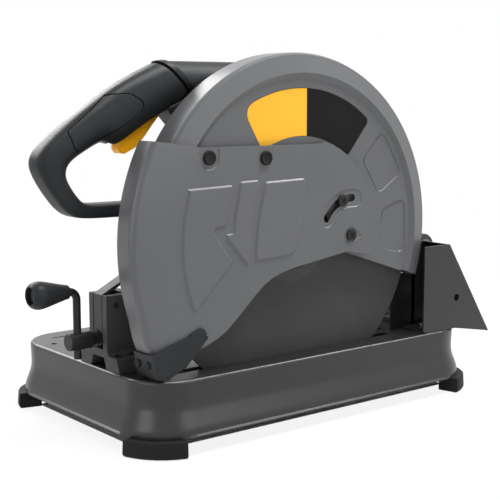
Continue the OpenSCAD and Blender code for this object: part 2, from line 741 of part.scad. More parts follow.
module motor_fan() color(black) difference() {
  union() {
    bar_y(motor_x, motor_z, fan_y, fan_y + 2, fan_r);
    bar_y(motor_x, motor_z, fan_y, fan_y + 12, 11);
    for (a = [0 : 30 : 330])
      translate([motor_x, fan_y + 1, motor_z]) rotate([0, a, 0])
        translate([16, 0, -1]) cube([fan_r - 17, 10, 2]);
  }
  bar_y(motor_x, motor_z, fan_y - 1, fan_y + 20, 6);
}

pinion_y = -74;

module rotor_shaft() color(steel) {
  bar_y(motor_x, motor_z, plate_y0, motor_y1 + 14 - 0.5, 6);
  translate([motor_x, pinion_y + 17, motor_z]) rotate([90, 0, 0]) linear_extrude(height = 17)
    rotate([0, 0, gear_dir + 180 + 180 / pinion_teeth]) gear_2d(pinion_teeth, tooth_m, 0.12);
  bar_y(motor_x, motor_z, plate_y0 - 2, plate_y0 + 1, 6);
}

module ball_ring(x, z, y0, y1, r0, r1) {
  difference() {
    bar_y(x, z, y0, y1, r1);
    bar_y(x, z, y0 - 1, y1 + 1, r0);
    for (y = [y0, y1]) difference() {
      bar_y(x, z, y - 0.8, y + 0.8, r1 - 1.8);
      bar_y(x, z, y - 1, y + 1, r0 + 1.8);
    }
  }
}

module rotor_bearings() color(steel) {
  ball_ring(motor_x, motor_z, plate_y1 - 9, plate_y1 - 1, 6.05, rotor_brg_r);
  ball_ring(motor_x, motor_z, motor_y1 + 5, motor_y1 + 13, 6.05, rotor_brg_r);
}

module spindle() color(steel) difference() {
  union() {
    bar_y(wheel_x, wheel_z, -103, case_y0 + 10, 8);
    bar_y(wheel_x, wheel_z, case_y0 + 9.5, plate_y0 + 8, 6);
  }
  bar_y(wheel_x, wheel_z, -104, -86, 4);
}

module spindle_gear() color(steel) difference() {
  translate([wheel_x, pinion_y + 15, wheel_z]) rotate([90, 0, 0]) linear_extrude(height = 13)
    rotate([0, 0, gear_dir]) gear_2d(gear_teeth, tooth_m, 0.12);
  bar_y(wheel_x, wheel_z, -90, -40, 6);
  for (a = [0 : 60 : 300])
    translate([wheel_x + 23 * cos(a), 0, wheel_z + 23 * sin(a)]) bar_y(0, 0, -90, -40, 6);
}

module spindle_bearings() color(steel) {
  ball_ring(wheel_x, wheel_z, -91, -79, 8.05, spindle_brg_r);
  ball_ring(wheel_x, wheel_z, plate_y0 + 1, plate_y0 + 9, 6.05, rotor_brg_r);
}

wheel_y0 = wheel_y - wheel_t / 2;
wheel_y1 = wheel_y + wheel_t / 2;

module inner_flange() color(steel) difference() {
  union() {
    bar_y(wheel_x, wheel_z, wheel_y1, wheel_y1 + 5, 38);
    bar_y(wheel_x, wheel_z, wheel_y0 + 0.3, wheel_y1 + 1, wheel_bore / 2 - 0.05);
    bar_y(wheel_x, wheel_z, wheel_y1, -92, 13);
  }
  bar_y(wheel_x, wheel_z, -103, -90, 8);
  bar_y(wheel_x, wheel_z, wheel_y0 - 1, -102, 5.2);
}

module wheel() color([0.2, 0.2, 0.21]) difference() {
  translate([wheel_x, wheel_y1, wheel_z]) rotate([90, 0, 0]) cylinder(r = wheel_r, h = wheel_t, $fn = 180);
  bar_y(wheel_x, wheel_z, wheel_y0 - 1, wheel_y1 + 1, wheel_bore / 2);
}

label_t = 0.4;

module wheel_label() color(dark) difference() {
  bar_y(wheel_x, wheel_z, wheel_y0 - label_t, wheel_y0, 51.5);
  bar_y(wheel_x, wheel_z, wheel_y0 - 2, wheel_y0 + 1, wheel_bore / 2);
}

flange_y0 = wheel_y0 - label_t - 4;

module outer_flange() color(steel) difference() {
  union() {
    bar_y(wheel_x, wheel_z, flange_y0, wheel_y0 - label_t, 38);
    bar_y(wheel_x, wheel_z, flange_y0 - 1.6, flange_y0 + 1, 11);
  }
  bar_y(wheel_x, wheel_z, flange_y0 - 3, wheel_y1, 5.2);
}

module wheel_bolt() color(steel) {
  bar_y(wheel_x, wheel_z, flange_y0 - 2, -88, 5 - 1);
  bar_y(wheel_x, wheel_z, flange_y0 - 2, -103.5, 5);
  translate([wheel_x, flange_y0 - 1.6, wheel_z]) rotate([90, 0, 0]) cylinder(r = 8.5, h = 4, $fn = 6);
}

lock_x = wheel_x - case_r - 5;

module lock_button() color(black) {
  bar_x(-69, wheel_z, lock_x - 11, lock_x - 5, 8);
  bar_x(-69, wheel_z, lock_x - 6, lock_x + 7, 4.02);
}

// Handle

seam_a = [-142, base_top + 309.4];
seam_b = [-104, base_top + 274];
seam_u = (seam_b - seam_a) / norm(seam_b - seam_a);
seam_n = [-seam_u[1], seam_u[0]];

// Half plane on the handle's side of the seam
module seam_side(gap) {
  p = seam_a - gap * seam_n;
  q = p + 200 * seam_u;
  polygon([p - 90 * seam_u, q, q - 260 * seam_n, p - 90 * seam_u - 260 * seam_n]);
}

trigger_out = [[-192, 223], [-189, 218.5], [-184, 218], [-171, 224], [-160, 235], [-150, 247], [-137, 261],
  [-134, 268], [-142, 272], [-152, 264], [-190, 239]];

module handle_body() {
  intersection() {
    union() {
      hull() {
        bead(-266.5, handle_y, base_top + 213, 18.5, 17);
        bead(-233, handle_y, base_top + 237.6, 20.5, 18);
      }
      hull() {
        bead(-233, handle_y, base_top + 237.6, 20.5, 18);
        bead(-187.4, handle_y, base_top + 267, 21.5, 18);
      }
      hull() {
        bead(-187.4, handle_y, base_top + 267, 21.5, 18);
        bead(-187, handle_y, base_top + 256, 20, 18);
        bead(-129, handle_y, base_top + 289, 25, 20);
      }
      hull() {
        bead(-266.5, handle_y, base_top + 213, 18.5, 17);
        bead(-246, handle_y, base_top + 168, 9, 14);
      }
      hull() {
        bead(-246, handle_y, base_top + 168, 9, 14);
        bead(-205, handle_y, base_top + 163, 7.5, 13);
        bead(-120, handle_y, base_top + 162, 7.5, 13);
      }
      translate([-125, handle_y - 11, base_top + 155.5]) cube([bar_end_x + 125, 22, 14]);
    }
    xz(handle_y - 40, handle_y + 40) seam_side(0);
  }
}

spigot_r = 14;

module handle_spigot(r) {
  mid = (seam_a + seam_b) / 2;
  translate([mid[0], handle_y, mid[1]]) rotate([0, 90 - atan2(seam_n[1], seam_n[0]), 0])
    translate([0, 0, -24]) cylinder(r = r, h = 30);
}

module handle_hollow() {
  xz(handle_y - 7.6, handle_y + 7.6)
    translate([0, base_top])
      polygon([[-206, 220], [-193, 212], [-184, 210], [-168, 215], [-150, 230], [-134, 248],
        [-126, 266], [-136, 280], [-158, 275], [-203, 249]]);
  switch_case();
  handle_spigot(spigot_r);
  for (p = handle_screw_at) {
    bar_y(p[0], p[1], handle_y - 9, handle_y + 30, 2.1);
    bar_y(p[0], p[1], handle_y + 9, handle_y + 30, 4.2);
  }
}

handle_screw_at = [[-266, base_top + 213], [-224, base_top + 243], [-243, base_top + 169.5]];

module switch_case() {
  translate([-178, handle_y, base_top + 272]) rotate([0, -31, 0]) cube([26, 14, 9], center = true);
}

module handle_near() color(black) difference() {
  handle_body();
  handle_hollow();
  box(-320, 0, handle_y, handle_y + 60, base_top + 100, base_top + 350);
}

// The far half carries the moulded pin that the trigger turns on
module handle_far() color(black) {
  difference() {
    handle_body();
    handle_hollow();
    box(-320, 0, handle_y - 60, handle_y, base_top + 100, base_top + 350);
  }
  bar_y(trig_px, trig_pz, handle_y - 7.5, handle_y + 9, 1.95);
}

module handle_screws() color(steel)
  for (p = handle_screw_at) {
    bar_y(p[0], p[1], handle_y + 9, handle_y + 11.5, 4);
    bar_y(p[0], p[1], handle_y - 9, handle_y + 10, 2);
  }

module handle_neck() color(black) difference() {
  union() {
    difference() {
      union() {
        hull() {
          bead(-124, handle_y, base_top + 286, 25, 20);
          bead(-30, handle_y, base_top + 285, 26, 21);
        }
        hull() {
          bead(-30, handle_y, base_top + 285, 26, 21);
          bead(motor_x - 8, -14, motor_z + 70, 30, 28);
          bead(motor_x + 6, -6, motor_z + 56, 30, 34);
        }
      }
      xz(handle_y - 60, handle_y + 60) seam_side(-2.5);
    }
    handle_spigot(spigot_r - 0.05);
  }
  bar_y(motor_x, motor_z, -120, 200, motor_r);
  box(-100, 100, -120, plate_y1 + 4, base_top + 130, motor_z + 92);
}

module trigger() color(amber) difference() {
  xz(handle_y - 7, handle_y + 7) translate([0, base_top]) polygon(trigger_out);
  bar_y(trig_px, trig_pz, handle_y - 20, handle_y + 20, 2);
}

module switch_block() color(dark) switch_case();

module cord_gland() color(black) difference() {
  union() {
    bar_y(gland_x, gland_z, motor_y1 + cap_l - 10, motor_y1 + cap_l + 12, gland_r);
    bar_y(gland_x, gland_z, motor_y1 + cap_l, motor_y1 + cap_l + 4, gland_r + 3);
  }
  bar_y(gland_x, gland_z, motor_y1, motor_y1 + cap_l + 20, 4.5);
}

// Guard and swinging cover, outlines counted from the wheel's centre

rim_a0 = -19;
rim_a1 = 172;
ring_r = 164;
rim_round = 7;
// Depth of the inner face behind the ring, and of the pockets pressed into it
ring_step = 3;
pocket_d = 0.8;
// What is cut away below the guard's front face
face_cut = [[-230, 84], [-205, 84], [-30, 74], [30, 45], [44, -8], [61, -23.5], [205, -71.5], [230, -80],
  [230, -230], [-230, -230]];

module at_wheel(y0, y1) {
  xz(y0, y1) translate([wheel_x, wheel_z]) children();
}

// An outline of radius and depth, turned about the wheel's axis
module turned(a0, a1) {
  translate([wheel_x, 0, wheel_z]) rotate([90, 0, 0]) rotate([0, 0, a0])
    rotate_extrude(angle = a1 - a0, $fn = 180) scale([1, -1]) children();
}

// Front edge of a rim: a sloped band that rolls over into the rim
function band(r, y, r_in, slope, round) = let (c = [r - round, y + slope + round])
  concat([[r_in, y]], [for (a = [-80 : 16 : 0]) c + round * [cos(a), sin(a)]]);

module guard_profile() {
  inner = band(guard_r - guard_t, face_y + guard_t, ring_r + 7, 2, rim_round - guard_t);
  polygon(concat(
    [[ring_r - 4, face_y + ring_step], [ring_r, face_y + ring_step]],
    band(guard_r, face_y, ring_r + 6, 2, rim_round),
    [[guard_r, back_y], [guard_r - guard_t, back_y]],
    [for (i = [len(inner) - 1 : -1 : 0]) inner[i]],
    [[ring_r + 1, face_y + ring_step + guard_t], [ring_r - 4, face_y + ring_step + guard_t]]
  ));
}

wedge_1 = [[119.5, 106], [89.5, 76], [115, 38.5], [150, 56.5], [147, 66]];
wedge_2 = [[120.5, 18.5], [156.5, 30], [158.5, -20], [155.5, -31.5], [126.5, -26.8], [119.5, -2]];

module upper_guard() color(grey) difference() {
  union() {
    turned(rim_a0, rim_a1) guard_profile();
    at_wheel(face_y + ring_step, face_y + ring_step + guard_t) circle(ring_r - 2, $fn = 180);
    at_wheel(back_y - guard_t, back_y) intersection() {
      circle(guard_r - 0.5, $fn = 180);
      polygon([[205, -71.5], [70, -60], [-70, -60], [-205, 20], [-205, 230], [205, 230]]);
    }
  }
  at_wheel(face_y - 1, face_y + rim_round + 3) polygon(face_cut);
  at_wheel(face_y - 1, face_y + ring_step + pocket_d) {
    polygon(wedge_1);
    polygon(wedge_2);
    ring_part(104, 154.5, 52.2, 120.6);
  }
  bar_y(wheel_x, wheel_z, back_y - 10, back_y + 5, spindle_boss_r + 0.3);
  for (a = [60, 150, 240, 330])
    bar_y(wheel_x + 36 * cos(a), wheel_z + 36 * sin(a), back_y - 5, back_y + 5, 2.7);
  for (p = cover_screw_at) bar_y(p[0], p[1], face_y - 1, face_y + 12, 3);
}

module guard_screws() color(steel)
  for (a = [60, 150, 240, 330])
    translate([wheel_x + 36 * cos(a), 0, wheel_z + 36 * sin(a)]) {
      bar_y(0, 0, back_y - guard_t - 3, back_y - guard_t, 5);
      bar_y(0, 0, back_y - guard_t - 1, case_y0 + 4, 2.45);
    }

badge_t = 0.5;

module badge_plate() color(amber)
  at_wheel(face_y + ring_step + pocket_d - badge_t, face_y + ring_step + pocket_d)
    ring_part(104.5, 154, 52.5, 120.3);

cover_screw_at = [
  [cover_px, cover_pz],
  [cover_px + cover_slot_r * cos(cover_screw_ang), cover_pz + cover_slot_r * sin(cover_screw_ang)]
];

module cover_screws() color(steel)
  for (p = cover_screw_at) {
    pan_screw_y(p[0], p[1], cover_y + pocket_d - 0.3 - 2.6, face_y + 8, 6.5, 2.6, 2.95);
    bar_y(p[0], p[1], cover_y + cover_t + 0.3, face_y + 3, 5);
  }

rim_c0 = 152.7;
rim_c1 = 209;
cover_depth = 30.5;
cover_flat_r = 165;
cover_slope = 4;
cover_edge = concat(
  arc_pts([0, 0], cover_r + 8, rim_c0 - 0.9, rim_c1, 16),
  [[-176, -115], [-152, -111], [-129.3, -101.3], [-116, -96], [-104, -89.3], [-88, -76], [-66, -56],
    [-55, -47.5], [-45, -41.9], [-32, -37.2], [-17.7, -34], [61.6, -22.9]],
  [for (a = [-17 : 6 : 73]) 102 * [cos(a), sin(a)]],
  [[14, 95.8], [-133, 96.4]]
);

// The cover's outer form, filled; inset t gives its inner form
module cover_form(t) {
  turned(0, 360) polygon(concat(
    [[0, cover_y + t]],
    band(cover_r - t, cover_y + t, cover_flat_r, cover_slope, rim_round - t),
    [[cover_r - t, cover_y + cover_depth + t], [0, cover_y + cover_depth + t]]
  ));
}

module front_cover() color(grey) difference() {
  union() {
    intersection() {
      difference() {
        cover_form(0);
        cover_form(cover_t);
      }
      at_wheel(cover_y - 1, cover_y + cover_depth + 1) polygon(cover_edge);
    }
    // Raised panels
    at_wheel(cover_y - 0.8, cover_y + 0.5) {
      polygon(concat(
        [[-99.5, 58.6], [-105.8, 17.3], [-119.7, 11.2], [-96.7, -19.7]],
        [for (a = [205 : -5 : 160]) (cover_flat_r - 0.5) * [cos(a), sin(a)]]
      ));
      polygon([[-86.5, 60.2], [-66.2, 61], [-79.3, -24], [-106.5, 8.8], [-96.5, 9.8]]);
      polygon([[-53.5, 60], [-7, 60.6], [-2.2, 52], [-11.5, -12], [-22, -19.5], [-67.3, -20.9]]);
    }
  }
  // Pockets around the slot, the pivot screw and the front button
  at_wheel(cover_y - 2, cover_y + pocket_d) {
    translate([67, -5.4]) arc_slot(cover_slot_r, 9, 82, 150);
    translate([67, -5.4]) circle(9.5);
    translate([67, -5.4]) polygon([[2, 9], [19, -2], [6, -7]]);
    translate(button_at[0]) circle(12.5);
    translate(button_at[0] - [12.5, 0]) square([25, 30]);
  }
  at_wheel(cover_y - 2, cover_y + 4) {
    translate([67, -5.4]) arc_slot(cover_slot_r, 4.2, 88, 150);
    translate([67, -5.4]) circle(3.05);
    for (p = button_at) translate(p) circle(3);
  }
}

button_at = [[-125.3, 86], [-54.2, 83.4]];

module cover_buttons() color(black)
  for (i = [0, 1])
    translate([wheel_x + button_at[i][0], 0, wheel_z + button_at[i][1]]) {
      bar_y(0, 0, cover_y - 2.6, cover_y + (i == 0 ? pocket_d : 0), 6.2);
      bar_y(0, 0, cover_y - 1, cover_y + cover_t + 0.4, 2.95);
    }

module cover_shoe() color(black) difference() {
  union() {
    at_wheel(cover_y - 2.5, cover_y + 12)
      polygon([[-194, -104], [-148, -87], [-137, -82], [-128.5, -87.4], [-127.3, -92.6], [-154.5, -119.2],
        [-174, -128.4], [-186, -128.4]]);
    at_wheel(cover_y - 2.5, cover_y + 32)
      polygon([[-194, -104], [-211, -122], [-210, -128.4], [-172, -128.4], [-176, -116], [-187.5, -104.5]]);
    for (y = [-118, -108])
      translate([wheel_x - 203, y, wheel_z - 113.5]) rotate([0, -44, 0])
        cylinder(r = 4, h = 4, center = true);
  }
  cover_form(0);
}

// Placing

base_pan();
rubber_feet();
foot_screws();
vice_bracket();
bracket_bolts();
lever_pin();
nut_lever();
vice_screw();
crank_rod();
crank_knob();
vice_jaw();
jaw_pin();
fence();
fence_bolts();
pivot_stand();
stand_bolts();
pivot_shaft();
shaft_clips();
spring_sleeve();
return_spring();
stop_bolt();
spark_deflector();
deflector_screws();
gear_case();
gear_plate();
case_screws();
motor_housing();
motor_cap();
cap_screws();
stator();
brushes();
brush_caps();
rotor_shaft();
armature();
commutator();
motor_fan();
rotor_bearings();
spindle();
spindle_gear();
spindle_bearings();
inner_flange();
wheel();
wheel_label();
outer_flange();
wheel_bolt();
lock_button();
handle_near();
handle_far();
handle_screws();
handle_neck();
trigger();
switch_block();
cord_gland();
upper_guard();
guard_screws();
badge_plate();
cover_screws();
front_cover();
cover_buttons();
cover_shoe();
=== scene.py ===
# %% [markdown]
# # An abrasive cut-off saw
# The construction model gives every piece its place. This lesson gives the pieces their looks: soft edges,
# moulded and pressed forms, and finishes made from nodes. The model is loaded first and never moved.

# %% Load the construction model
import json
import math

import bmesh
import bpy
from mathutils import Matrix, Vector


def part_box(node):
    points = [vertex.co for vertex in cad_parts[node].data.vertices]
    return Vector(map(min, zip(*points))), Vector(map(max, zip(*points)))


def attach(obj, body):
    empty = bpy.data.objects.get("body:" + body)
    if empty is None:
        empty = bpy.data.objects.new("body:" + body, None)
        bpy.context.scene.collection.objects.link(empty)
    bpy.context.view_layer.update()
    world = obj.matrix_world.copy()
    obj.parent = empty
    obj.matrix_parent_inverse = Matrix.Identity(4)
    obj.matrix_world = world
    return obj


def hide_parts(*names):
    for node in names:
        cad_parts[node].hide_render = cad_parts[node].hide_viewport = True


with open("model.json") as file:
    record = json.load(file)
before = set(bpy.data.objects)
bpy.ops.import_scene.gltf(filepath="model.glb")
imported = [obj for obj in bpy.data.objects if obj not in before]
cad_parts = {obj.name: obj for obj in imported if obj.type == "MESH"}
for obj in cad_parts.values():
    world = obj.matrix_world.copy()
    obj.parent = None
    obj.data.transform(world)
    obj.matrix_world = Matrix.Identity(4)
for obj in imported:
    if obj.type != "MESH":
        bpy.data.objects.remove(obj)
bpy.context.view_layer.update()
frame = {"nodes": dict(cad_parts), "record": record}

MM = 0.001
NODES = frame["nodes"]

# %% [markdown]
# ## Camera
# The picture was taken from the operator's side, a little above the work surface. A camera can be aimed at a
# target object, or given its turn and tilt as here, which keeps the level of the floor exact.

# %% Camera
CAMERA_AT = (-0.78546, -1.01442, 0.35373)
CAMERA_TURN = -38.48
CAMERA_TILT = 8.02
LENS, SENSOR = 80.76, 36
bpy.ops.object.camera_add(
    location=CAMERA_AT,
    rotation=(math.radians(90 - CAMERA_TILT), 0, math.radians(CAMERA_TURN)),
)
camera = bpy.context.object
camera.data.sensor_width = SENSOR
camera.data.lens = LENS
camera.data.clip_end = 50
bpy.context.scene.camera = camera
print("camera", camera.location[:])

# %% [markdown]
# ## Studio
# Soft light comes from large lamps: the larger the lamp, the softer the shadow. A broad lamp hangs overhead, a
# smaller one draws bright lines along the edges that face up, one behind picks out the rims, and two weak ones
# fill the sides. The floor and the sky look white to the camera, to glossy surfaces and through glass, and light
# the object only at a plain level. The floor's glow is weaker near the object, where its shadow lies, and right under
# the base there is none, so that the slots in the base look dark.

# %% Studio
def soft_lamp(name, at, target, size, power):
    bpy.ops.object.select_all(action="DESELECT")
    bpy.ops.object.light_add(type="AREA", location=at)
    lamp = bpy.context.object
    lamp.name = name
    lamp.data.shape = "RECTANGLE"
    lamp.data.size, lamp.data.size_y = size
    lamp.data.energy = power
    lamp.rotation_euler = (Vector(target) - Vector(at)).to_track_quat("-Z", "Y").to_euler()
    return lamp


soft_lamp("overhead", (0.25, -0.5, 1.8), (0, -0.05, 0.2), (1.1, 0.8), 40)
soft_lamp("wheel_side_high", (1.15, -0.45, 1.4), (0, -0.1, 0.2), (0.5, 0.5), 17)
soft_lamp("rear_edge", (-0.35, 1.2, 1.1), (-0.1, 0, 0.3), (1.5, 0.8), 28)
soft_lamp("wheel_side_low", (0.6, -2.0, 0.8), (0, 0, 0.2), (1.4, 1.0), 7)
soft_lamp("operator_side", (-1.9, -0.4, 0.6), (0, 0, 0.2), (1.0, 1.0), 7)
SKY_LIGHT = 0.14
FLOOR_GLOW, GLOW_FROM, GLOW_TO = 0.88, 0.45, 1.5
FLOOR_SIZE, FLOOR_LEVEL = 16, -0.0003
UNDER_X, UNDER_HALF_X, UNDER_HALF_Y = 0.017, 0.215, 0.113


def seen_directly(nodes, links):
    path = nodes.new("ShaderNodeLightPath")
    total = path.outputs["Is Camera Ray"]
    for ray in ("Is Glossy Ray", "Is Transmission Ray"):
        either = nodes.new("ShaderNodeMath")
        either.operation = "MAXIMUM"
        links.new(total, either.inputs[0])
        links.new(path.outputs[ray], either.inputs[1])
        total = either.outputs[0]
    return total


def between(nodes, links, factor, low, high):
    level = nodes.new("ShaderNodeMapRange")
    level.inputs["To Min"].default_value = low
    level.inputs["To Max"].default_value = high
    links.new(factor, level.inputs["Value"])
    return level.outputs[0]


sky = bpy.data.worlds.new("sky")
bpy.context.scene.world = sky
sky.use_nodes = True
sky_nodes, sky_links = sky.node_tree.nodes, sky.node_tree.links
sky_nodes["Background"].inputs["Color"].default_value = (1, 1, 1, 1)
strength = between(sky_nodes, sky_links, seen_directly(sky_nodes, sky_links), SKY_LIGHT, 1.0)
sky_links.new(strength, sky_nodes["Background"].inputs["Strength"])
bpy.context.scene.view_settings.view_transform = "Standard"

bpy.ops.object.select_all(action="DESELECT")
bpy.ops.mesh.primitive_plane_add(size=FLOOR_SIZE, location=(0, 0, FLOOR_LEVEL))
floor = bpy.context.object
floor.name = "floor"
pale = bpy.data.materials.new("pale_floor")
pale.use_nodes = True
tree = pale.node_tree
tree.nodes["Principled BSDF"].inputs["Base Color"].default_value = (0.8, 0.8, 0.8, 1)
tree.nodes["Principled BSDF"].inputs["Roughness"].default_value = 0.8
glow = tree.nodes.new("ShaderNodeEmission")
blend = tree.nodes.new("ShaderNodeMixShader")
place = tree.nodes.new("ShaderNodeTexCoord").outputs["Object"]
away = tree.nodes.new("ShaderNodeVectorMath")
away.operation = "LENGTH"
tree.links.new(place, away.inputs[0])
far_glow = tree.nodes.new("ShaderNodeMapRange")
for socket, number in (("From Min", GLOW_FROM), ("From Max", GLOW_TO), ("To Min", FLOOR_GLOW), ("To Max", 1.0)):
    far_glow.inputs[socket].default_value = number
tree.links.new(away.outputs["Value"], far_glow.inputs["Value"])


def floor_math(operation, a, b=None):
    node = tree.nodes.new("ShaderNodeMath")
    node.operation = operation
    for socket, value in zip(node.inputs, (a, b)):
        if isinstance(value, (int, float)):
            socket.default_value = value
        elif value:
            tree.links.new(value, socket)
    return node.outputs[0]


axes = tree.nodes.new("ShaderNodeSeparateXYZ")
tree.links.new(place, axes.inputs[0])
from_middle = floor_math("SUBTRACT", axes.outputs[0], UNDER_X)
past_x = floor_math("GREATER_THAN", floor_math("ABSOLUTE", from_middle), UNDER_HALF_X)
past_y = floor_math("GREATER_THAN", floor_math("ABSOLUTE", axes.outputs[1]), UNDER_HALF_Y)
clear = floor_math("MAXIMUM", past_x, past_y)
level = floor_math("MULTIPLY", seen_directly(tree.nodes, tree.links), far_glow.outputs[0])
tree.links.new(floor_math("MULTIPLY", level, clear), blend.inputs[0])
tree.links.new(tree.nodes["Principled BSDF"].outputs[0], blend.inputs[1])
tree.links.new(glow.outputs[0], blend.inputs[2])
tree.links.new(blend.outputs[0], tree.nodes["Material Output"].inputs["Surface"])
floor.data.materials.append(pale)

# %% [markdown]
# ## Finishes
# Every finish is a small tree of nodes on Object coordinates: a broad noise shifts the colour and the gloss, a
# fine one raises a grain, and the mesh's own pointed edges show wear. One function holds the tree, and each
# finish gives it its own colour, scale and depth.

# %% Finish helper
def noise(tree, coord, scale, detail=3.0, rough=0.55):
    n = tree.nodes.new("ShaderNodeTexNoise")
    n.inputs["Scale"].default_value = scale
    n.inputs["Detail"].default_value = detail
    n.inputs["Roughness"].default_value = rough
    tree.links.new(coord, n.inputs["Vector"])
    return n.outputs["Fac"]


def ramp(tree, value, low, high, a, b):
    r = tree.nodes.new("ShaderNodeMapRange")
    for socket, number in (("From Min", low), ("From Max", high), ("To Min", a), ("To Max", b)):
        r.inputs[socket].default_value = number
    tree.links.new(value, r.inputs["Value"])
    return r.outputs[0]


def mix(tree, factor, a, b):
    m = tree.nodes.new("ShaderNodeMix")
    m.data_type = "RGBA"
    tree.links.new(factor, m.inputs[0])
    for socket, value in ((m.inputs[6], a), (m.inputs[7], b)):
        if isinstance(value, tuple):
            socket.default_value = value
        else:
            tree.links.new(value, socket)
    return m.outputs[2]


def shade(colour, k):
    return tuple(min(1.0, c * k) for c in colour) + (1.0,)


def finish(name, colour, spread=0.1, rough=0.45, rough_spread=0.06, metal=0.0, patch=14, grain=700,
           grain_depth=0.02, wear=0.0, worn=(0.35, 0.35, 0.36), gloss=0.5, stretch=None):
    material = bpy.data.materials.new(name)
    material.use_nodes = True
    tree = material.node_tree
    surface = tree.nodes["Principled BSDF"]
    coord = tree.nodes.new("ShaderNodeTexCoord").outputs["Object"]
    if stretch:
        mapping = tree.nodes.new("ShaderNodeMapping")
        mapping.inputs["Scale"].default_value = stretch
        tree.links.new(coord, mapping.inputs["Vector"])
        coord = mapping.outputs[0]
    cloud = noise(tree, coord, patch)
    fine = noise(tree, coord, grain, 2.0)
    tone = mix(tree, ramp(tree, cloud, 0.3, 0.7, 0, 1), shade(colour, 1 - spread), shade(colour, 1 + spread))
    tone = mix(tree, ramp(tree, fine, 0.35, 0.65, 0, 0.35), tone, shade(colour, 1 + 2 * spread))
    if wear:
        edge = tree.nodes.new("ShaderNodeNewGeometry").outputs["Pointiness"]
        tone = mix(tree, ramp(tree, edge, 0.52, 0.62, 0, wear), tone, tuple(worn) + (1.0,))
    tree.links.new(tone, surface.inputs["Base Color"])
    gloss_map = ramp(tree, cloud, 0.3, 0.7, rough - rough_spread, rough + rough_spread)
    tree.links.new(gloss_map, surface.inputs["Roughness"])
    surface.inputs["Metallic"].default_value = metal
    surface.inputs["Specular IOR Level"].default_value = gloss
    bump = tree.nodes.new("ShaderNodeBump")
    bump.inputs["Strength"].default_value = 0.35
    bump.inputs["Distance"].default_value = grain_depth * MM
    tree.links.new(fine, bump.inputs["Height"])
    tree.links.new(bump.outputs[0], surface.inputs["Normal"])
    return material


# %% [markdown]
# The guard and the cover carry a satin grey paint, the base a darker one with the soft ripple of powder coat.
# Moulded plastic has a fine even grain, cast iron is rough, and wound copper has streaks along its wires. Each line
# gives the colour and its spread, the roughness and its spread, the metal share, the scales of patch and grain, the
# grain's depth in millimetres, and where edges wear, how much and to which colour.

# %% Finishes of this saw
FINISH = {
    "guard_paint": finish("guard_paint", (0.093, 0.095, 0.0985), 0.04, 0.31, 0.03, 0, 9, 900, 0.012, gloss=0.4),
    "base_paint": finish("base_paint", (0.011, 0.0113, 0.012), 0.06, 0.31, 0.03, 0, 11, 420, 0.03, gloss=0.5),
    "rubber": finish("rubber", (0.009, 0.009, 0.0095), 0.12, 0.62, 0.06, 0, 30, 1500, 0.04, gloss=0.15),
    "plastic": finish("plastic", (0.017, 0.0182, 0.0195), 0.08, 0.4, 0.04, 0, 16, 1500, 0.003, 0.15,
                      (0.04, 0.04, 0.042), 0.16),
    "steel": finish("steel", (0.15, 0.15, 0.155), 0.08, 0.42, 0.06, 1.0, 40, 500, 0.02, 0.3, (0.25, 0.25, 0.26)),
    "black_steel": finish("black_steel", (0.011, 0.011, 0.012), 0.15, 0.36, 0.08, 0, 60, 900, 0.02, 0.3,
                          (0.05, 0.05, 0.052), 0.22),
    "iron": finish("iron", (0.045, 0.0455, 0.047), 0.12, 0.5, 0.06, 0, 26, 650, 0.12, 0.3, (0.08, 0.08, 0.083),
                   0.18),
    "alloy": finish("alloy", (0.28, 0.285, 0.29), 0.07, 0.45, 0.07, 0.6, 30, 800, 0.08, 0.3, (0.45, 0.45, 0.46)),
    "carbon": finish("carbon", (0.02, 0.02, 0.02), 0.1, 0.6, 0.05, 0, 60, 1500, 0.02),
    "copper": finish("copper", (0.52, 0.25, 0.12), 0.14, 0.35, 0.08, 1.0, 60, 400, 0.06, stretch=(1, 0.1, 1)),
    "abrasive": finish("abrasive", (0.05, 0.0505, 0.052), 0.12, 0.7, 0.05, 0, 20, 1100, 0.2, gloss=0.15),
    "label": finish("label", (0.058, 0.0585, 0.06), 0.06, 0.6, 0.04, 0, 20, 1200, 0.02, gloss=0.15),
    "amber": finish("amber", (0.98, 0.42, 0.004), 0.04, 0.38, 0.04, 0, 18, 1500, 0.03, gloss=0.3),
}
DECAL_BLACK = finish("decal_black", (0.009, 0.0085, 0.0095), 0.1, 0.34, 0.03, 0, 18, 1500, 0.01, gloss=0.08)
DECAL_YELLOW = finish("decal_yellow", (0.86, 0.43, 0.035), 0.03, 0.34, 0.03, 0, 18, 1500, 0.01, gloss=0.15)
slot_of = {s["node"]: s["material_slot"] for s in frame["record"]["subparts"]}
body_of = {n: b for b, members in frame["record"]["behaviour"]["bodies"].items() for n in members}
for node, piece in NODES.items():
    piece.data.materials.clear()
    piece.data.materials.append(FINISH[slot_of[node]])
print("finishes", sorted(FINISH))

# %% [markdown]
# ## Soft edges
# No real edge is sharp: pressed sheet rolls over, castings have fillets, and turned steel is broken with a file.
# A copy of a node is merged and its flat triangles are dissolved, so that the Bevel modifier finds only true
# edges, and weighted normals then keep the flats flat between the rounded edges. A bevel that is too wide for a
# narrow face folds the face over, so the width shrinks step by step until hardly anything folds.

# %% Helpers for soft copies
BEVEL_SHARES = (1, 0.75, 0.5, 0.35, 0.25, 0.15)
FOLD_LIMIT = 0.000005
WELD_GAP, FLAT_GAP, SEAM_GAP = 0.000005, 0.00001, 0.00002
FLAT_ANGLE = 0.6


def deselect():
    if bpy.context.object and bpy.context.object.mode != "OBJECT":
        bpy.ops.object.mode_set(mode="OBJECT")
    bpy.ops.object.select_all(action="DESELECT")


def only(piece):
    deselect()
    piece.select_set(True)
    bpy.context.view_layer.objects.active = piece


def new_piece(name, mesh):
    piece = bpy.data.objects.new(name, mesh)
    bpy.context.scene.collection.objects.link(piece)
    only(piece)
    return piece


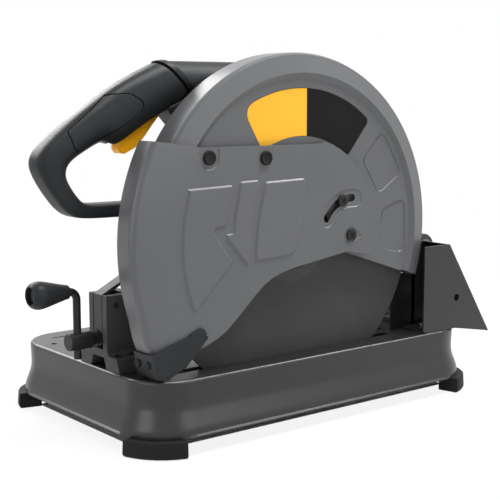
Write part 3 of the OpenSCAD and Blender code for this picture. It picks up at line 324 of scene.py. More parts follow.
def copy_of(node, name):
    piece = new_piece(name, NODES[node].data.copy())
    bpy.ops.mesh.customdata_custom_splitnormals_clear()
    bpy.ops.object.shade_flat()
    bpy.ops.object.mode_set(mode="EDIT")
    bpy.ops.mesh.select_all(action="SELECT")
    bpy.ops.mesh.remove_doubles(threshold=WELD_GAP)
    bpy.ops.mesh.dissolve_limited(angle_limit=math.radians(FLAT_ANGLE))
    bpy.ops.object.mode_set(mode="OBJECT")
    return piece


def apply(piece, kind, **settings):
    only(piece)
    modifier = piece.modifiers.new(kind.lower(), kind)
    for key, value in settings.items():
        setattr(modifier, key, value)
    bpy.ops.object.modifier_apply(modifier=modifier.name)


def smooth(piece, angle=35, weighted=True):
    only(piece)
    bpy.ops.object.shade_smooth_by_angle(angle=math.radians(angle))
    if weighted:
        apply(piece, "WEIGHTED_NORMAL", mode="FACE_AREA", weight=50, keep_sharp=True)


def weld(piece):
    only(piece)
    bpy.ops.object.mode_set(mode="EDIT")
    bpy.ops.mesh.select_all(action="SELECT")
    bpy.ops.mesh.remove_doubles(threshold=WELD_GAP)
    bpy.ops.mesh.dissolve_degenerate(threshold=WELD_GAP)
    bpy.ops.object.mode_set(mode="OBJECT")


def folded(mesh):
    mesh.calc_loop_triangles()
    return sum(t.area for t in mesh.loop_triangles if t.normal.dot(mesh.polygons[t.polygon_index].normal) < 0)


def round_edges(piece, width, steps=2, angle=32, limit=FOLD_LIMIT):
    plain = piece.data.copy()
    allowed = folded(plain) + limit
    for share in BEVEL_SHARES:
        piece.data = plain.copy()
        apply(piece, "BEVEL", width=width * share * MM, segments=steps, limit_method="ANGLE",
              angle_limit=math.radians(angle), use_clamp_overlap=False, miter_outer="MITER_ARC")
        weld(piece)
        if folded(piece.data) < allowed:
            break
    bpy.data.meshes.remove(plain)
    if share < 1:
        print("narrower edges on", piece.name, share)


def seat(piece, body, slot, *nodes):
    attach(piece, body)
    if nodes:
        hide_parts(*nodes)
    piece.data.materials.clear()
    piece.data.materials.append(FINISH[slot])
    return piece


def soften(node, width, steps=2, angle=32, slot=None):
    piece = copy_of(node, node + "_soft")
    round_edges(piece, width, steps, angle)
    smooth(piece)
    return seat(piece, body_of[node], slot or slot_of[node], node)


# %% Soft copies
SOFT_EDGES = {
    "rubber_feet": 1.2, "bracket_bolts": 0.4, "vice_jaw": 0.9, "fence": 0.9, "fence_bolts": 0.5, "pivot_stand": 1.0,
    "stand_bolts": 0.5, "deflector_screws": 0.5, "gear_case": 1.2, "gear_plate": 0.8, "motor_housing": 0.8,
    "motor_cap": 0.7, "brush_caps": 0.6, "lock_button": 0.8, "cord_gland": 0.7, "cover_screws": 0.35,
}
for node, width in SOFT_EDGES.items():
    piece = soften(node, width)
    print("softened", node, len(piece.data.polygons), "faces")
print("softened", soften("trigger", 0.9, 4).name)
for node, slot in (("outer_flange", "black_steel"), ("wheel_bolt", "black_steel"), ("nut_lever", "iron")):
    print("darkened", soften(node, 0.5, slot=slot).name)

# %% [markdown]
# ## Lofts and prisms
# Three ways to make a solid from an outline serve the next pieces. A loft bridges rings of points in turn, a prism
# fills one outline and extrudes it, and a turned piece spins a profile about an axis, as on a lathe. A Boolean
# modifier then joins a solid to a piece or cuts it away.

# %% Solids from outlines
BASE_TOP = 74.5


def loft(name, rings, levels=1):
    count = len(rings[0])
    points = [p for ring in rings for p in ring]
    edges = [(r * count + k, r * count + (k + 1) % count) for r in range(len(rings)) for k in range(count)]
    mesh = bpy.data.meshes.new(name)
    mesh.from_pydata(points, edges, [])
    piece = new_piece(name, mesh)
    bpy.ops.object.mode_set(mode="EDIT")
    bpy.ops.mesh.select_mode(type="EDGE")
    for pair in [(r, r + 1) for r in range(len(rings) - 1)] + [(0,), (len(rings) - 1,)]:
        bpy.ops.mesh.select_all(action="DESELECT")
        edit = bmesh.from_edit_mesh(mesh)
        for edge in edit.edges:
            homes = {v.index // count for v in edge.verts}
            if len(homes) == 1 and homes <= set(pair):
                edge.select_set(True)
        bmesh.update_edit_mesh(mesh)
        if len(pair) == 2:
            bpy.ops.mesh.bridge_edge_loops()
        else:
            bpy.ops.mesh.edge_face_add()
    bpy.ops.mesh.select_all(action="SELECT")
    bpy.ops.mesh.normals_make_consistent(inside=False)
    bpy.ops.object.mode_set(mode="OBJECT")
    if levels:
        apply(piece, "SUBSURF", levels=levels, render_levels=levels)
    return piece


def prism(name, outline, y0, y1):
    mesh = bpy.data.meshes.new(name)
    mesh.from_pydata([(x * MM, y0 * MM, (BASE_TOP + z) * MM) for x, z in outline],
                     [(k, (k + 1) % len(outline)) for k in range(len(outline))], [])
    piece = new_piece(name, mesh)
    bpy.ops.object.mode_set(mode="EDIT")
    bpy.ops.mesh.select_all(action="SELECT")
    bpy.ops.mesh.edge_face_add()
    bpy.ops.mesh.extrude_region_move(TRANSFORM_OT_translate={"value": (0, (y1 - y0) * MM, 0)})
    bpy.ops.mesh.select_all(action="SELECT")
    bpy.ops.mesh.normals_make_consistent(inside=False)
    bpy.ops.object.mode_set(mode="OBJECT")
    return piece


def turned(name, profile, x0, y, z, steps=40):
    mesh = bpy.data.meshes.new(name)
    mesh.from_pydata([((x0 + x) * MM, y * MM, (z + r) * MM) for x, r in profile],
                     [(k, k + 1) for k in range(len(profile) - 1)], [])
    piece = new_piece(name, mesh)
    bpy.ops.object.mode_set(mode="EDIT")
    bpy.ops.mesh.select_all(action="SELECT")
    bpy.ops.mesh.spin(steps=steps, angle=2 * math.pi, center=(0, y * MM, z * MM), axis=(1, 0, 0))
    bpy.ops.mesh.select_all(action="SELECT")
    bpy.ops.mesh.remove_doubles(threshold=SEAM_GAP)
    bpy.ops.mesh.normals_make_consistent(inside=False)
    bpy.ops.object.mode_set(mode="OBJECT")
    return piece


def join(piece, *others):
    only(piece)
    for other in others:
        other.select_set(True)
    bpy.ops.object.join()
    return piece


def carve(piece, cutter, operation="DIFFERENCE"):
    apply(piece, "BOOLEAN", object=cutter, operation=operation, solver="EXACT")
    bpy.data.objects.remove(cutter)


# %% [markdown]
# ## Base pan
# The base is drawn from one sheet: a small round at the top, an almost upright wall with a slight waist, a soft
# flare, and a flat flange along the sides that stops short of the corners, where the feet sit. On the copy, bisects
# add the rows that such a profile needs, and every row is then set in or out along the wall's own direction. A new
# loft would also do, but it would lose the slots in the top. A dark sheet under the long slot is painted shade: it
# stands in for the shade inside the hollow base, so that the slot looks dark.

# %% Skirt
PAN_X, CORNER_X, CORNER_Y, CORNER_R = 17.0, 180.0, 93.0, 48.0
EDGE_R, TOP_R, FLARE, FLANGE, FLANGE_TOP, SHEET = 6.0, 3.2, 13.5, 8.2, 18.9, 2.5
WALL = ((66, 0.0), (60, -0.4), (52, -0.5), (46, 0.0), (42, 0.9), (38, 2.3), (34, 3.9), (30, 5.4), (26, 6.6), (23, 7.0),
        (20.6, 6.7))
FLARE_FROM, FLARE_HIGH = 25, 20
FLANGE_STOP, FLANGE_FADE = 5, 8
TOUCH, SKIN = 0.05, 0.3
# dark sheet under the long slot: painted shade, standing in for the shade inside the hollow base
SLOT_SHADE_SHEET = [(-165.0, -2.0), (145.0, -2.0), (145.0, -38.0), (-165.0, -38.0)]


def ease(u):
    u = min(1.0, max(0.0, u))
    return u * u * (3 - 2 * u)


def along(table, z):
    for (z0, s0), (z1, s1) in zip(table, table[1:]):
        if z0 >= z >= z1:
            return s0 + (s1 - s0) * (z0 - z) / (z0 - z1)
    return table[0][1] if z > table[0][0] else table[-1][1]


def skirt_place(x, y, z):
    core = Vector((min(CORNER_X, max(-CORNER_X, x - PAN_X)), min(CORNER_Y, max(-CORNER_Y, y))))
    arm = Vector((x - PAN_X, y)) - core
    if arm.length < CORNER_R - EDGE_R - TOUCH:
        return x, y, z
    way, out = arm.normalized(), arm.length - CORNER_R
    drawn = FLARE * ease((BASE_TOP - FLARE_FROM - z) / FLARE_HIGH)
    if z > BASE_TOP - EDGE_R - TOUCH:
        up, across = z - BASE_TOP + EDGE_R, out + EDGE_R
        a, size = math.atan2(up, across), math.hypot(up, across) + TOP_R - EDGE_R
        out, z = size * math.cos(a) - TOP_R, BASE_TOP - TOP_R + size * math.sin(a)
    elif out > drawn - SHEET - SKIN:
        outside = out > drawn - SKIN
        out += along(WALL, z) - drawn
        if outside and z < FLANGE_TOP + TOUCH:
            corner = math.degrees(math.asin(min(abs(way.x), abs(way.y))))
            out += (FLANGE - out) * (1 - ease((corner - FLANGE_STOP) / FLANGE_FADE))
    else:
        return x, y, z
    spot = core + way * (CORNER_R + out)
    return spot.x + PAN_X, spot.y, z


pan = copy_of("base_pan", "base_pan_drawn")
bpy.ops.object.mode_set(mode="EDIT")
for z in [z for z, out in WALL] + [FLANGE_TOP]:
    bpy.ops.mesh.select_all(action="SELECT")
    bpy.ops.mesh.bisect(plane_co=(0, 0, z * MM), plane_no=(0, 0, 1))
mesh = bmesh.from_edit_mesh(pan.data)
for vert in mesh.verts:
    vert.co = Vector(skirt_place(*(vert.co / MM))) * MM
bmesh.update_edit_mesh(pan.data)
bpy.ops.object.mode_set(mode="OBJECT")
# join the dark sheet under the long slot: painted shade for the inside of the base
join(pan, prism("slot_shade_sheet", SLOT_SHADE_SHEET, -98.5, -96.5))
round_edges(pan, 0.4, 2, 50)
smooth(pan, 40)
seat(pan, "base", "base_paint", "base_pan")
print("base pan", len(pan.data.polygons), "faces")

# %% [markdown]
# ## Vice bracket
# The bracket is a casting: two cheeks on a broad foot with a ledge, and a notch under the middle. Its front outline
# is lofted from front to back, and the channel, the bore and the pockets for its bolts are cut away.

# %% Bracket
SCREW_Y, SCREW_Z = -40.0, 105.0
BRACKET_X0, BRACKET_X1 = -209.0, -173.0
BORE_R, POCKET_R = 8.2, 6.2
CHANNEL = [(-9, 20), (9, 20), (9, 80), (-9, 80)]
BRACKET = [(-40, 0), (-35, 13.6), (-33, 14.6), (-24, 14.6), (-20, 15.4), (-18, 17.4), (-17, 21), (-17, 76), (17, 76),
           (17, 21), (18, 17.4), (20, 15.4), (24, 14.6), (31, 14.0), (33, 13.0), (36, 0), (15, 0), (10.5, 12),
           (-10.5, 12), (-15, 0)]


def turned_ring(point, radius, count=28):
    return [point(radius * math.cos(2 * math.pi * k / count), radius * math.sin(2 * math.pi * k / count))
            for k in range(count)]


def across_vice(name, outline, x0, x1):
    return loft(name, [[Vector((x, SCREW_Y + y, BASE_TOP + z)) * MM for y, z in outline] for x in (x0, x1)], 0)


bracket = across_vice("vice_bracket_cast", BRACKET, BRACKET_X0, BRACKET_X1)
carve(bracket, across_vice("channel", CHANNEL, BRACKET_X0 - 1, BRACKET_X1 - 9))
carve(bracket, loft("screw_bore", [turned_ring(lambda a, b: Vector((x, SCREW_Y + a, SCREW_Z + b)) * MM, BORE_R)
                                   for x in (BRACKET_X1 - 12, BRACKET_X1 + 1)], 0))
for x in (BRACKET_X0 + 10, BRACKET_X0 + 27):
    for y in (SCREW_Y - 26, SCREW_Y + 26):
        carve(bracket, loft("bolt_pocket", [turned_ring(lambda a, b: Vector((x + a, y + b, z)) * MM, POCKET_R)
                                            for z in (BASE_TOP + 6, BASE_TOP + 20)], 0))
round_edges(bracket, 0.9, 3)
smooth(bracket)
seat(bracket, "base", slot_of["vice_bracket"], "vice_bracket")
print("bracket", len(bracket.data.polygons), "faces")

# %% [markdown]
# ## Pressed guard and cover
# The guard and its swinging cover are pressed from sheet, so the raised panels and the sunk fields have rounded
# corners and soft sloping walls. The construction model has them as plain steps. On a copy those steps are pushed
# flat, and a lofted pressing with an S-shaped wall is joined on or cut away in the same place. Insetting the step's
# own faces would also give a slope, but narrow corners fold over.

# %% Rounded outlines
WHEEL_X, WHEEL_Z = -6.6, 203.7


def rounded(outline, radius, inset=0.0, steps=5):
    points = [Vector(p) for p in outline]
    count = len(points)
    ways = [(points[k] - points[k - 1]).normalized() for k in range(count)]
    turns = []
    for k in range(count):
        come, go = ways[k], ways[(k + 1) % count]
        turns.append(math.atan2(come.x * go.y - come.y * go.x, come.dot(go)))
    share = [0.47 if abs(t) >= math.radians(20) else 0.95 for t in turns]
    ring = []
    for k in range(count):
        here, come, turn, after = points[k], ways[k], turns[k], (k + 1) % count
        half = math.tan(abs(turn) / 2)
        corner = here + inset * (Vector((-come.y, come.x)) - math.tan(turn / 2) * come)
        if abs(turn) < math.radians(20):
            ring.append(corner)
            continue
        wish = radius[k] if isinstance(radius, (list, tuple)) else radius
        room = min((here - points[k - 1]).length * share[k - 1], (points[after] - here).length * share[after])
        size = min(wish, room / half)
        size = max(0.2, size - math.copysign(inset, turn))
        start = corner - come * size * half
        side = Vector((-come.y, come.x)) * math.copysign(1, turn)
        centre = start + side * size
        arm = start - centre
        for step in range(steps + 1):
            a = turn * step / steps
            ring.append(centre + Vector((arm.x * math.cos(a) - arm.y * math.sin(a),
                                         arm.x * math.sin(a) + arm.y * math.cos(a))))
    return ring


def arc(x, z, radius, start, end, steps=12):
    angles = [math.radians(start + (end - start) * k / steps) for k in range(steps + 1)]
    return [(x + radius * math.cos(a), z + radius * math.sin(a)) for a in angles]


def ring_slot(x, z, radius, half, start, end):
    caps = [arc(x + radius * math.cos(math.radians(a)), z + radius * math.sin(math.radians(a)), half, a + turn,
                a + turn + 180, 8)[1:-1] for a, turn in ((end, 0), (start, 180))]
    return arc(x, z, radius + half, start, end) + caps[0] + arc(x, z, radius - half, end, start) + caps[1]


# %% Press a shape into a sheet
STEP, LEVEL_GAP = 0.8, 0.02
RAISED = ((0, -0.6), (0, 0), (0.3, 0.12), (1.1, 0.85), (1.9, 1.55), (2.6, 1.7))
SUNK = ((0, -0.6), (0, 0), (0.25, 0.07), (0.6, 0.4), (0.95, 0.73), (1.4, 0.8))


def push_flat(piece, level, base):
    only(piece)
    bpy.ops.object.mode_set(mode="EDIT")
    mesh = bmesh.from_edit_mesh(piece.data)
    for vert in mesh.verts:
        if abs(vert.co.y / MM - level) < LEVEL_GAP:
            vert.co.y = base * MM
    bmesh.update_edit_mesh(piece.data)
    bpy.ops.mesh.select_all(action="SELECT")
    bpy.ops.mesh.remove_doubles(threshold=FLAT_GAP)
    bpy.ops.mesh.dissolve_degenerate(threshold=FLAT_GAP)
    bpy.ops.mesh.dissolve_limited(angle_limit=math.radians(FLAT_ANGLE))
    bpy.ops.object.mode_set(mode="OBJECT")


def press(piece, outline, radius, face, profile, way):
    rings = []
    for inset, height in profile:
        rings.append([Vector((WHEEL_X + p.x, face + way * height, WHEEL_Z + p.y)) * MM
                      for p in rounded(outline, radius, inset)])
    carve(piece, loft("pressing", rings, 0), "UNION" if way < 0 else "DIFFERENCE")


# %% [markdown]
# The cover swings up as the wheel meets the work. Three raised panels stiffen it, and round pockets hold its screws
# and a stop. Its lower front corner is drawn forward to meet the shoe.

# %% Cover
SHEET_FACE = -128.5
PANELS = [
    [(-96.3, -20.1), (-122.6, 15.2), (-104.9, 16.6), (-100.5, 35.7), (-96.9, 51.4), (-96.3, 58.4), (-153.5, 56.8)]
    + arc(0, 0, 159.5, 161, 205, 9),
    [(-87.7, 61.2), (-90.8, 45.1), (-93.9, 31.3), (-96, 18.5), (-97, 9.6), (-108.9, 9.2), (-75.6, -30.2), (-74.2, 0.7),
     (-72.4, 20.8), (-68.9, 38.8), (-63.8, 56.6), (-62.6, 62)],
    [(-68.9, -21.8), (-23, -20.3), (-16.2, -18.2), (-11, -11.8), (-8.8, -2.6), (-5.5, 16.1), (-2.9, 35.8), (-1.2, 51.3),
     (-0.6, 60.9), (-55, 59.4), (-61.5, 37.3), (-65.6, 16.3), (-68, -3.9)],
]
BUTTON_X, BUTTON_Z = -125.3, 86.0
POCKETS = [
    ring_slot(67, -5.4, 41, 10.3, 82, 150),
    arc(67, -5.4, 9.5, 77, 310, 20) + [(86, -7.4)],
    [(BUTTON_X + 12.5, BUTTON_Z + 17), (BUTTON_X - 12.5, BUTTON_Z + 17)] + arc(BUTTON_X, BUTTON_Z, 12.5, 180, 360, 16),
]
CORNER_FROM, CORNER_REACH, CORNER_OUT = 66.0, 42.0, 5.5
FRONT_FROM, FRONT_REACH = -135, 40
COVER_FOLDS = 0.00005
cover = copy_of("front_cover", "front_cover_pressed")
bpy.ops.object.mode_set(mode="EDIT")
mesh = bmesh.from_edit_mesh(cover.data)
for vert in mesh.verts:
    low = (CORNER_FROM + BASE_TOP - vert.co.z / MM) / CORNER_REACH
    vert.co.x -= CORNER_OUT * ease(low) * ease((FRONT_FROM - vert.co.x / MM) / FRONT_REACH) * MM
bmesh.update_edit_mesh(cover.data)
bpy.ops.object.mode_set(mode="OBJECT")
for level in (SHEET_FACE - STEP, SHEET_FACE + STEP):
    push_flat(cover, level, SHEET_FACE)
for outline in PANELS:
    press(cover, outline, 3, SHEET_FACE, RAISED, -1)
for outline in POCKETS:
    press(cover, outline, 3, SHEET_FACE, SUNK, 1)
round_edges(cover, 0.3, 2, 55, COVER_FOLDS)
smooth(cover, 30)
seat(cover, "cover", "guard_paint", "front_cover")
print("cover", len(cover.data.polygons), "faces")

# %% [markdown]
# The guard is a deep pressing with a raised band along its rim. Only its front edges are rounded: at the back a
# narrow rim would fold over, so the edges are selected by their angle and place, and bevelled in edit mode.

# %% Guard
INNER_FACE, BAND_FRONT, BACK_FROM = -122.0, -108.0, -95.0
GUARD_EDGE, GUARD_SHARP = 0.4, 55
BAND_FROM, BAND_WIDE, BAND_RISE, BAND_FALL, BAND_BEFORE = 170.0, 14.0, 1.1, 1.3, 4
PLATE_OUT, PLATE_IN, PLATE_START, PLATE_END = 154.5, 104, 50.4, 120.6
FIELDS = [
    [(149, 58), (145, 68), (119.5, 108), (88.5, 76.5), (115, 36.5)],
    [(119.5, -2), (126.5, -28), (155, -33), (158.5, -20), (156.5, 31), (120.5, 19.5)],
]
PLATE_FIELD = (arc(0, 0, PLATE_OUT, PLATE_START, PLATE_START, 1)[:1] + arc(0, 0, PLATE_OUT, 56, 114, 20)
               + arc(0, 0, PLATE_OUT, PLATE_END, PLATE_END, 1)[:1] + arc(0, 0, PLATE_IN, PLATE_END, PLATE_END, 1)[:1]
               + arc(0, 0, PLATE_IN, 115, 57, 18) + arc(0, 0, PLATE_IN, PLATE_START, PLATE_START, 1)[:1])
PLATE_RADII = [6.0] * len(PLATE_FIELD)
PLATE_RADII[22] = 13.0
guard = copy_of("upper_guard", "upper_guard_pressed")
push_flat(guard, INNER_FACE + STEP, INNER_FACE)
only(guard)
bpy.ops.object.mode_set(mode="EDIT")
mesh = bmesh.from_edit_mesh(guard.data)
mesh.normal_update()
for vert in mesh.verts:
    out = math.hypot(vert.co.x / MM - WHEEL_X, vert.co.z / MM - WHEEL_Z) - BAND_FROM
    if out > -BAND_BEFORE and vert.co.y / MM < BAND_FRONT and vert.normal.y < 0.2:
        vert.co.y += (min(1.0, max(0.0, out / BAND_WIDE)) * (BAND_RISE + BAND_FALL) - BAND_RISE) * MM
bmesh.update_edit_mesh(guard.data)
bpy.ops.object.mode_set(mode="OBJECT")
for outline in FIELDS:
    press(guard, outline, 8, INNER_FACE, SUNK, 1)
press(guard, PLATE_FIELD, PLATE_RADII, INNER_FACE, ((0, -0.6), (0, 0), (0.3, STEP)), 1)
only(guard)
bpy.ops.object.mode_set(mode="EDIT")
bpy.ops.mesh.select_mode(type="EDGE")
bpy.ops.mesh.select_all(action="DESELECT")
bpy.ops.mesh.edges_select_sharp(sharpness=math.radians(GUARD_SHARP))
mesh = bmesh.from_edit_mesh(guard.data)
for edge in mesh.edges:
    if min(vert.co.y for vert in edge.verts) > BACK_FROM * MM:
        edge.select = False
mesh.select_flush_mode()
bmesh.update_edit_mesh(guard.data)
bpy.ops.mesh.bevel(offset=GUARD_EDGE * MM, segments=2, affect="EDGES", clamp_overlap=False, miter_outer="ARC")
bpy.ops.mesh.select_mode(type="VERT")
bpy.ops.object.mode_set(mode="OBJECT")
weld(guard)
smooth(guard, 30)
seat(guard, "head", "guard_paint", "upper_guard")
print("guard", len(guard.data.polygons), "faces")

# %% [markdown]
# ## Spark deflector
# The folded plate behind the wheel catches the sparks. Its copy gets soft edges, a larger hole in the wing, and a
# rubber-black apron on the far side that closes the view past the wheel, as a prism on the same plane.

# %% Deflector
WING_X, WING_Z, WING_R = 225.5, 37.0, 4.3
APRON = [(156.0, 0.0), (196.0, 0.0), (196.0, 66.6), (168.0, 66.6), (166.0, 72.0), (156.0, 72.0)]
deflector = copy_of("spark_deflector", "spark_deflector_soft")
join(deflector, prism("apron", APRON, -98.0, -96.0))
carve(deflector, prism("wing_hole", arc(WING_X, WING_Z, WING_R, 0, 360, 28)[:-1], -142.0, -130.0))
round_edges(deflector, 0.4)
smooth(deflector)
seat(deflector, "base", slot_of["spark_deflector"], "spark_deflector")
print("deflector", len(deflector.data.polygons), "faces")

# %% [markdown]
# ## Shoe
# A shoe is screwed to the cover's front corner and rests on the base. It is a bent plate with a rounded toe, a low
# raised border and a short upright front that carries two round screw heads: a prism cut back behind its front, a
# border joined to it by a Boolean and two turned heads.

# %% Shoe on the cover
SHOE = [(-202.6, 26.0), (-158.0, 40.0), (-156.6, 42.3), (-147.0, 46.6), (-143.5, 47.1), (-140.5, 45.6), (-138.2, 41.8),
        (-138.3, 39.3), (-135.6, 36.8), (-163.0, 10.2), (-184.0, 1.0), (-197.0, 2.0), (-199.2, 7.5)]
BEHIND_FRONT = [(-188.0, 60.0), (-188.0, 26.0), (-176.0, 13.0), (-179.0, -5.0), (-120.0, -5.0), (-120.0, 60.0)]
SHOE_BORDER = [(-196.3, 7.2), (-174.0, 16.2), (-152.0, 25.6), (-146.0, 29.8), (-144.0, 28.6), (-163.2, 11.2),
               (-183.8, 1.8), (-196.3, 2.8)]
HEAD_PROFILE = [(0, 0), (0, 4.4), (-1.4, 4.4), (-2.6, 3.8), (-3.1, 2.9), (-3.1, 1.9), (-2.3, 1.5), (-2.3, 0)]
HEAD_X, HEAD_Z, HEADS_Y = -200.4, 15.0, (-119.0, -102.0)
shoe = prism("cover_shoe_bent", SHOE, SHEET_FACE - 2.5, SHEET_FACE + 32)
carve(shoe, prism("behind_front", BEHIND_FRONT, SHEET_FACE + 10, SHEET_FACE + 40))
carve(shoe, prism("shoe_border", SHOE_BORDER, SHEET_FACE - 3.2, SHEET_FACE), "UNION")
round_edges(shoe, 0.4, 2, 28)
for y in HEADS_Y:
    join(shoe, turned("shoe_screw", HEAD_PROFILE, HEAD_X, y, BASE_TOP + HEAD_Z, 28))
smooth(shoe, 30)
seat(shoe, "cover", slot_of["cover_shoe"], "cover_shoe")
print("shoe", len(shoe.data.polygons), "faces")

# %% [markdown]
# ## Rubber stops
# Two rubber stops sit on the cover. Each is a turned button with a rolled edge and a slightly hollow face, lofted
# from rings about its own middle.

# %% Stops
STOPS = ((BUTTON_X, BUTTON_Z, SHEET_FACE + STEP), (-54.2, 83.4, SHEET_FACE))
STOP_PROFILE = ((7.0, 0.0), (7.3, -0.6), (7.3, -2.0), (7.0, -2.6), (6.3, -2.9), (5.4, -2.8), (4.8, -2.3), (2.0, -2.1))
stops = None
for x, z, foot in STOPS:
    rings = [[Vector((WHEEL_X + px, foot + rise, WHEEL_Z + pz)) * MM for px, pz in arc(x, z, size, 0, 360, 40)[:-1]]
             for size, rise in STOP_PROFILE]
    stop = loft("cover_stops", rings, 0)
    stops = join(stops, stop) if stops else stop
smooth(stops, 40)
seat(stops, "cover", "rubber", "cover_buttons")
print("stops", len(stops.data.polygons), "faces")

# %% [markdown]
# ## Plate on the guard
# A thin printed plate lies in the guard's upper field, yellow on one side and black on the other. Its outline is
# the field's, a little smaller, and a bisect gives the two colours a clean border between their faces.

# %% Two-tone plate
SPLIT_X = 0.4
plate_low, plate_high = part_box("badge_plate")
plate_outline = [(WHEEL_X + p.x, WHEEL_Z - BASE_TOP + p.y) for p in rounded(PLATE_FIELD, PLATE_RADII, 0.5)]
plate = prism("badge_plate_two_tone", plate_outline, plate_low.y / MM, plate_high.y / MM)
bpy.ops.object.mode_set(mode="EDIT")
bpy.ops.mesh.select_all(action="SELECT")
bpy.ops.mesh.bisect(plane_co=(SPLIT_X * MM, 0, 0), plane_no=(1, 0, 0))
bpy.ops.object.mode_set(mode="OBJECT")
seat(plate, "head", slot_of["badge_plate"], "badge_plate")
plate.data.materials.clear()
plate.data.materials.append(DECAL_YELLOW)
plate.data.materials.append(DECAL_BLACK)
for face in plate.data.polygons:
    face.material_index = 1 if face.center.x > SPLIT_X * MM else 0
print("plate", len(plate.data.polygons), "faces")

# %% [markdown]
# ## Handle
# The loop handle is moulded in two halves: a full round grip, a slimmer front strut and a flat lower bar. It is
# lofted here. Each rib is a ring between an outer and an inner point with its own half width and squareness, and
# bridging the ribs in turn gives one skin, which a subdivision makes smooth.

# %% Handle rings
HANDLE_Y = -50.0


def superellipse(t, square):
    c, s = math.cos(t), math.sin(t)
    return (math.copysign(abs(c) ** (2 / square), c), math.copysign(abs(s) ** (2 / square), s))


def handle_ring(outer, inner, half_width, square, points=32):
    ring = []
    for k in range(points):
        u, v = superellipse(2 * math.pi * k / points, square)
        ring.append(Vector((
            (outer[0] + inner[0]) / 2 + u * (outer[0] - inner[0]) / 2,
            HANDLE_Y + v * half_width,
            BASE_TOP + (outer[1] + inner[1]) / 2 + u * (outer[1] - inner[1]) / 2,
        )) * MM)
    return ring


# %% Handle ribs
HANDLE_RIBS = [
    ((-142.6, 309.4), (-105.0, 274.5), 20.0, 2.4), ((-144.5, 308.6), (-108.0, 272.5), 20.0, 2.4),
    ((-153.0, 305.0), (-121.0, 264.8), 20.0, 2.4), ((-166.0, 299.3), (-141.5, 256.8), 19.5, 2.5),
    ((-182.0, 291.7), (-163.0, 245.0), 18.5, 2.6), ((-196.0, 284.4), (-182.0, 233.0), 18.0, 2.8),
    ((-204.0, 279.6), (-194.5, 226.4), 17.5, 2.8), ((-208.0, 277.0), (-200.0, 226.6), 17.5, 2.8),
    ((-214.0, 273.0), (-206.5, 230.0), 17.5, 2.7), ((-223.0, 267.2), (-213.5, 230.0), 17.5, 2.6),
    ((-238.0, 257.2), (-226.0, 223.5), 17.5, 2.6), ((-254.0, 245.6), (-238.5, 217.0), 17.0, 2.6),
    ((-270.0, 232.6), (-247.5, 211.0), 16.5, 2.8), ((-279.5, 223.8), (-251.0, 206.0), 16.0, 3.2),
    ((-284.0, 215.0), (-252.4, 201.2), 15.5, 3.6), ((-283.0, 205.5), (-252.0, 195.8), 15.0, 4.0),
    ((-276.5, 192.5), (-248.5, 188.8), 14.5, 4.5), ((-266.5, 178.0), (-243.5, 181.5), 14.0, 5.0),
    ((-257.0, 166.2), (-239.0, 176.0), 14.0, 5.0), ((-248.5, 159.6), (-235.0, 172.6), 13.5, 5.0),
    ((-240.0, 156.9), (-230.0, 171.0), 13.0, 5.0), ((-226.0, 155.6), (-222.0, 170.2), 13.0, 5.0),
    ((-205.0, 155.2), (-204.0, 170.0), 13.0, 5.0), ((-160.0, 154.9), (-160.0, 169.8), 13.0, 5.0),
    ((-124.0, 155.0), (-124.0, 169.6), 13.0, 5.0), ((-114.0, 155.4), (-114.0, 169.5), 11.2, 5.0),
    ((-64.0, 155.5), (-64.0, 169.5), 11.0, 5.0), ((-62.0, 155.5), (-62.0, 169.5), 11.0, 5.0),
]
handle = loft("handle_skin", [handle_ring(*rib) for rib in HANDLE_RIBS])
print("handle skin", len(handle.data.polygons), "faces")

# %% [markdown]
# The skin is now worked like the real moulding: a pocket for the trigger, a deep fine groove round the grip pad,
# recesses for the screws, and a cut along the middle that parts the two halves. Boolean cutters are prisms whose
# outline is filled and extruded.

# %% Cut the handle
def half_of(piece, name, sign):
    half = new_piece(name, piece.data.copy())
    bpy.ops.object.mode_set(mode="EDIT")
    bpy.ops.mesh.select_all(action="SELECT")
    bpy.ops.mesh.bisect(plane_co=(0, HANDLE_Y * MM, 0), plane_no=(0, sign, 0), use_fill=True, clear_inner=True)
    bpy.ops.object.mode_set(mode="OBJECT")
    return half


def offset(outline, gap):
    centre = [sum(p[k] for p in outline) / len(outline) for k in (0, 1)]
    grown = []
    for x, z in outline:
        d = Vector((x - centre[0], z - centre[1])).normalized()
        grown.append((x + gap * d.x, z + gap * d.y))
    return grown


RECESSES, RECESS_R = [(-266.0, 213.0), (-224.0, 243.0), (-243.0, 169.5)], 4.4
POCKET_HALF, GROOVE_HALF = 7.6, 0.55
TRIGGER_POCKET = [(-206, 220), (-193, 212), (-184, 210), (-168, 215), (-150, 230), (-134, 248), (-126, 266),
                  (-136, 280), (-158, 275), (-203, 249)]
GRIP_PAD = [(-252.0, 240.0), (-251.2, 242.5), (-207.5, 275.5), (-203.0, 277.0), (-185.5, 277.9), (-180.5, 276.6),
            (-171.5, 271.2), (-168.8, 268.0), (-168.0, 264.0), (-171.0, 258.5), (-184.0, 250.5), (-204.0, 239.5),
            (-222.0, 232.0), (-236.0, 223.5), (-242.0, 221.5), (-246.5, 225.5)]
carve(handle, prism("trigger_pocket", TRIGGER_POCKET, HANDLE_Y - POCKET_HALF, HANDLE_Y + POCKET_HALF))
near_half = half_of(handle, "handle_near_skin", -1)
groove = prism("grip_groove", offset(GRIP_PAD, GROOVE_HALF), HANDLE_Y - 40, HANDLE_Y - 5)
carve(groove, prism("grip_island", offset(GRIP_PAD, -GROOVE_HALF), HANDLE_Y - 41, HANDLE_Y - 4))
carve(near_half, groove)
far_half = half_of(handle, "handle_far_skin", 1)
for x, z in RECESSES:
    carve(far_half, prism("screw_recess", arc(x, z, RECESS_R, 0, 360, 24)[:-1], HANDLE_Y + 9, HANDLE_Y + 30))
bpy.data.objects.remove(handle)
for half, node in ((near_half, "handle_near"), (far_half, "handle_far")):
    round_edges(half, 0.3, 2, 50)
    smooth(half, 40)
    seat(half, "head", "plastic", node)
    print(half.name, len(half.data.polygons), "faces")

